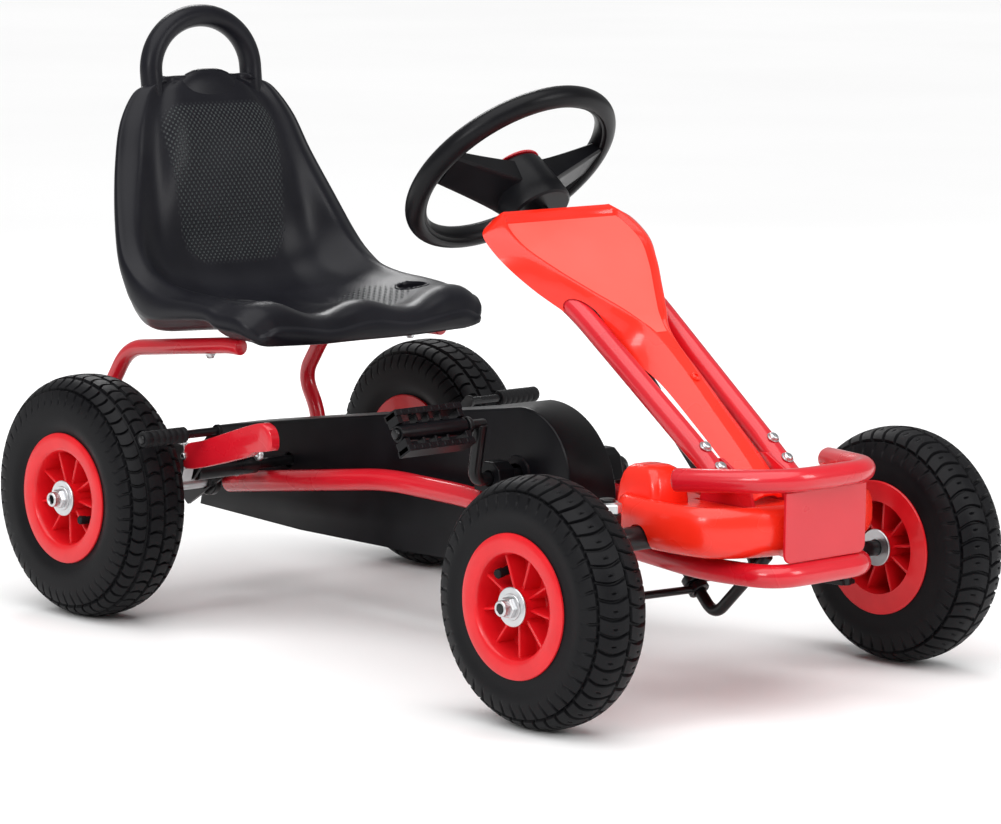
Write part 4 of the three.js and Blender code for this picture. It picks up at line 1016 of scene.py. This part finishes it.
def pedal_shape():
    """A barrel between two ribbed treads, joined by end bars."""
    made = Shape()
    end, front, top = 44, 23, 9.5
    made.turned([(5.7, -44), (8.4, -44), (8.8, -40), (8.8, 40), (8.4, 44), (5.7, 44)], segments=32,
                looped=True)
    for s in (-1, 1):
        x0, x1 = sorted((s * (front - 7), s * front))
        made.block((x0, -end, -top), (x1, end, top))
        for k in range(8):
            y = -end + 9 + k * 10
            made.block((x0 + 1.2, y - 2.2, -top - 0.6), (x1 - 1.2, y + 2.2, top + 0.6))
        y0, y1 = sorted((s * (end - 7), s * end))
        for t in (-1, 1):
            xa, xb = sorted((t * 8, t * (front - 1)))
            made.block((xa, y0, -top + 1.5), (xb, y1, top - 1.5))
        for t in (-16, 0, 16):
            made.block((min(s * 8, s * 17), t - 1.6, -5), (max(s * 8, s * 17), t + 1.6, 5))
    return made


def build_brake():
    x, z, bar_x, bar_z = BRAKE_X, BRAKE_Z, -231, 209
    bars = Shape().tube([(x, -198, z), (x, 198, z)], 5.5)
    lean = degrees(atan2(bar_z - z, bar_x - x))
    outline = [*arc(x, z, 8, lean + 90, lean + 270, 12), *arc(bar_x, bar_z, 7, lean - 90, lean + 90, 12)]
    for side in (-1, 1):
        bars.plate(outline, *sorted((side * 177, side * 181)))
        bars.tube([(bar_x, side * 179, bar_z), (bar_x, side * 281, bar_z)], 4.5, sides=20)
    piece("brake_bars", bars, STEEL, ["brake_shaft"], "brake", bevel=0.5)
    for label, side in SIDES:
        profile = [(5, 0), (7.6, 0), (8.5, 1.2)]
        for k in range(6):
            h = 5 + 8 * k
            profile += [(8.5, h), (7.9, h + 0.8), (7.9, h + 1.8), (8.5, h + 2.6)]
        profile += [(8.5, 54.6), (7.6, 56), (5, 56)]
        pad = Shape().turned(profile, (bar_x, side * 223, bar_z), (0, side, 0), segments=36, looped=True)
        piece(f"brake_rubber_{label}", pad, RUBBER, [f"brake_pad_{label}"], "brake")
    sleeve = [(-263.5, 166), (-263.5, 191), (-229.5, 201.5), (-150, 227), (-130, 228), (-121, 219),
              (-120, 205), (-128, 201), (-150, 197), (-172, 188)]
    round_sleeve = smooth_line(sleeve, 5, closed=True)
    rings = []
    for grow, y in ((0.93, -198), (0.975, -197.4), (1, -196), (1, -186), (0.975, -184.6), (0.93, -184)):
        rings.append([(-191 + (px + 191) * grow, y, 198 + (pz - 198) * grow) for px, pz in round_sleeve])
    piece("brake_grip", Shape().rings(rings), CRIMSON, ["brake_lever_sleeve"], "brake", sharp=50)
    lever = Shape().plate(
        [(-270, 172), (-270, 184), (-229.5, 194.5), (-150, 219), (-150, 206), (-172, 197)], -193, -189)
    bracket = mesh_object("brake_bracket", Shape().plate(
        [(x - 9, z - 4), (x - 10, 186), (x - 6, 192), (-264, 192), (-264, 166), (x + 6, z - 8),
         (x - 4, z - 9)], -198, -184))
    hole = drill(6.1, 20, (x, -190, z), segments=32)
    bracket = merged(carve(bracket, hole), mesh_object("brake_tongue", lever))
    dress(bracket, ZINC, ["brake_lever"], "brake", bevel=0.8)
    rivet = Shape()
    bolt_head(rivet, (x, -198, z), (0, -1, 0), 5.4, 4.2, 2.4)
    bolt_head(rivet, (-264.5, -198, 180), (0, -1, 0), 3.6, 2.2, 1.4)
    piece("brake_rivets", rivet, ZINC, body="brake")


def dress_kept_nodes():
    """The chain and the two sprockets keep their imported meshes."""
    for node, look in (("drive_chain", ZINC), ("rear_sprocket", STEEL), ("chainring", STEEL)):
        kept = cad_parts[node]
        kept.data.materials.clear()
        kept.data.materials.append(look)
        soften(kept, 0.3)


# ---- stage ----
def aim(lamp, direction):
    lamp.rotation_mode = "QUATERNION"
    lamp.rotation_quaternion = Vector(direction).to_track_quat("-Z", "Y")


def area_light(name, place, target, size, power):
    data = bpy.data.lights.new(name, "AREA")
    data.shape = "RECTANGLE"
    data.size, data.size_y = size
    data.energy = power
    lamp = linked(name, data)
    lamp.location = place
    aim(lamp, Vector(target) - Vector(place))


VIEW_AT, VIEW_DISTANCE = Vector((0.01586, 0, 0.24161)), 4.26711
AZIMUTH, ELEVATION, ROLL = 47.48, 8.29, 0.67


def build_stage():
    data = bpy.data.cameras.new("camera")
    camera = linked("camera", data)
    bpy.context.scene.camera = camera
    data.sensor_width, data.lens = 36, 147.475
    data.clip_start, data.clip_end = 0.1, 60
    turn = Matrix.Rotation(radians(AZIMUTH), 3, "Z") @ Matrix.Rotation(radians(90 - ELEVATION), 3, "X")
    turn = turn @ Matrix.Rotation(radians(ROLL), 3, "Z")
    camera.rotation_mode = "QUATERNION"
    camera.location = VIEW_AT + turn @ Vector((0, 0, VIEW_DISTANCE))
    camera.rotation_quaternion = turn.to_quaternion()
    bpy.context.scene.view_settings.view_transform = "Standard"

    mesh = bpy.data.meshes.new("floor")
    far = 14
    mesh.from_pydata([(-far, -far, 0), (far, -far, 0), (far, far, 0), (-far, far, 0)], [], [(0, 1, 2, 3)])
    floor = linked("floor", mesh)
    mesh.materials.append(finish_of("pale_floor", (0.9, 0.9, 0.9), (0.92, 0.92, 0.92), (0.85, 0.95),
                                    mottle=0.6, grain=20, relief=0, specular=0.1))

    world = bpy.data.worlds.new("studio")
    bpy.context.scene.world = world
    world.use_nodes = True
    set_inputs(world.node_tree.nodes["Background"], Color=(1, 1, 1, 1), Strength=0.34)
    sun = bpy.data.lights.new("overhead", "SUN")
    sun.energy, sun.angle = 2.5, radians(75)
    aim(linked("overhead", sun), (-0.22, 0.3, -1))
    area_light("key", (1.2, -3.6, 1.9), (0, 0, 0.25), (1.3, 1), 42)
    area_light("rim_light", (3, 1.2, 1.7), (0.1, 0, 0.3), (1, 1.4), 30)
    area_light("back_light", (-2.6, 1.4, 2.2), (0, 0, 0.4), (1.4, 0.8), 30)


build_stage()
build_frame()
build_steering()
build_guard()
build_tray()
build_panel()
build_seat()
build_wheels()
build_crank()
build_brake()
dress_kept_nodes()
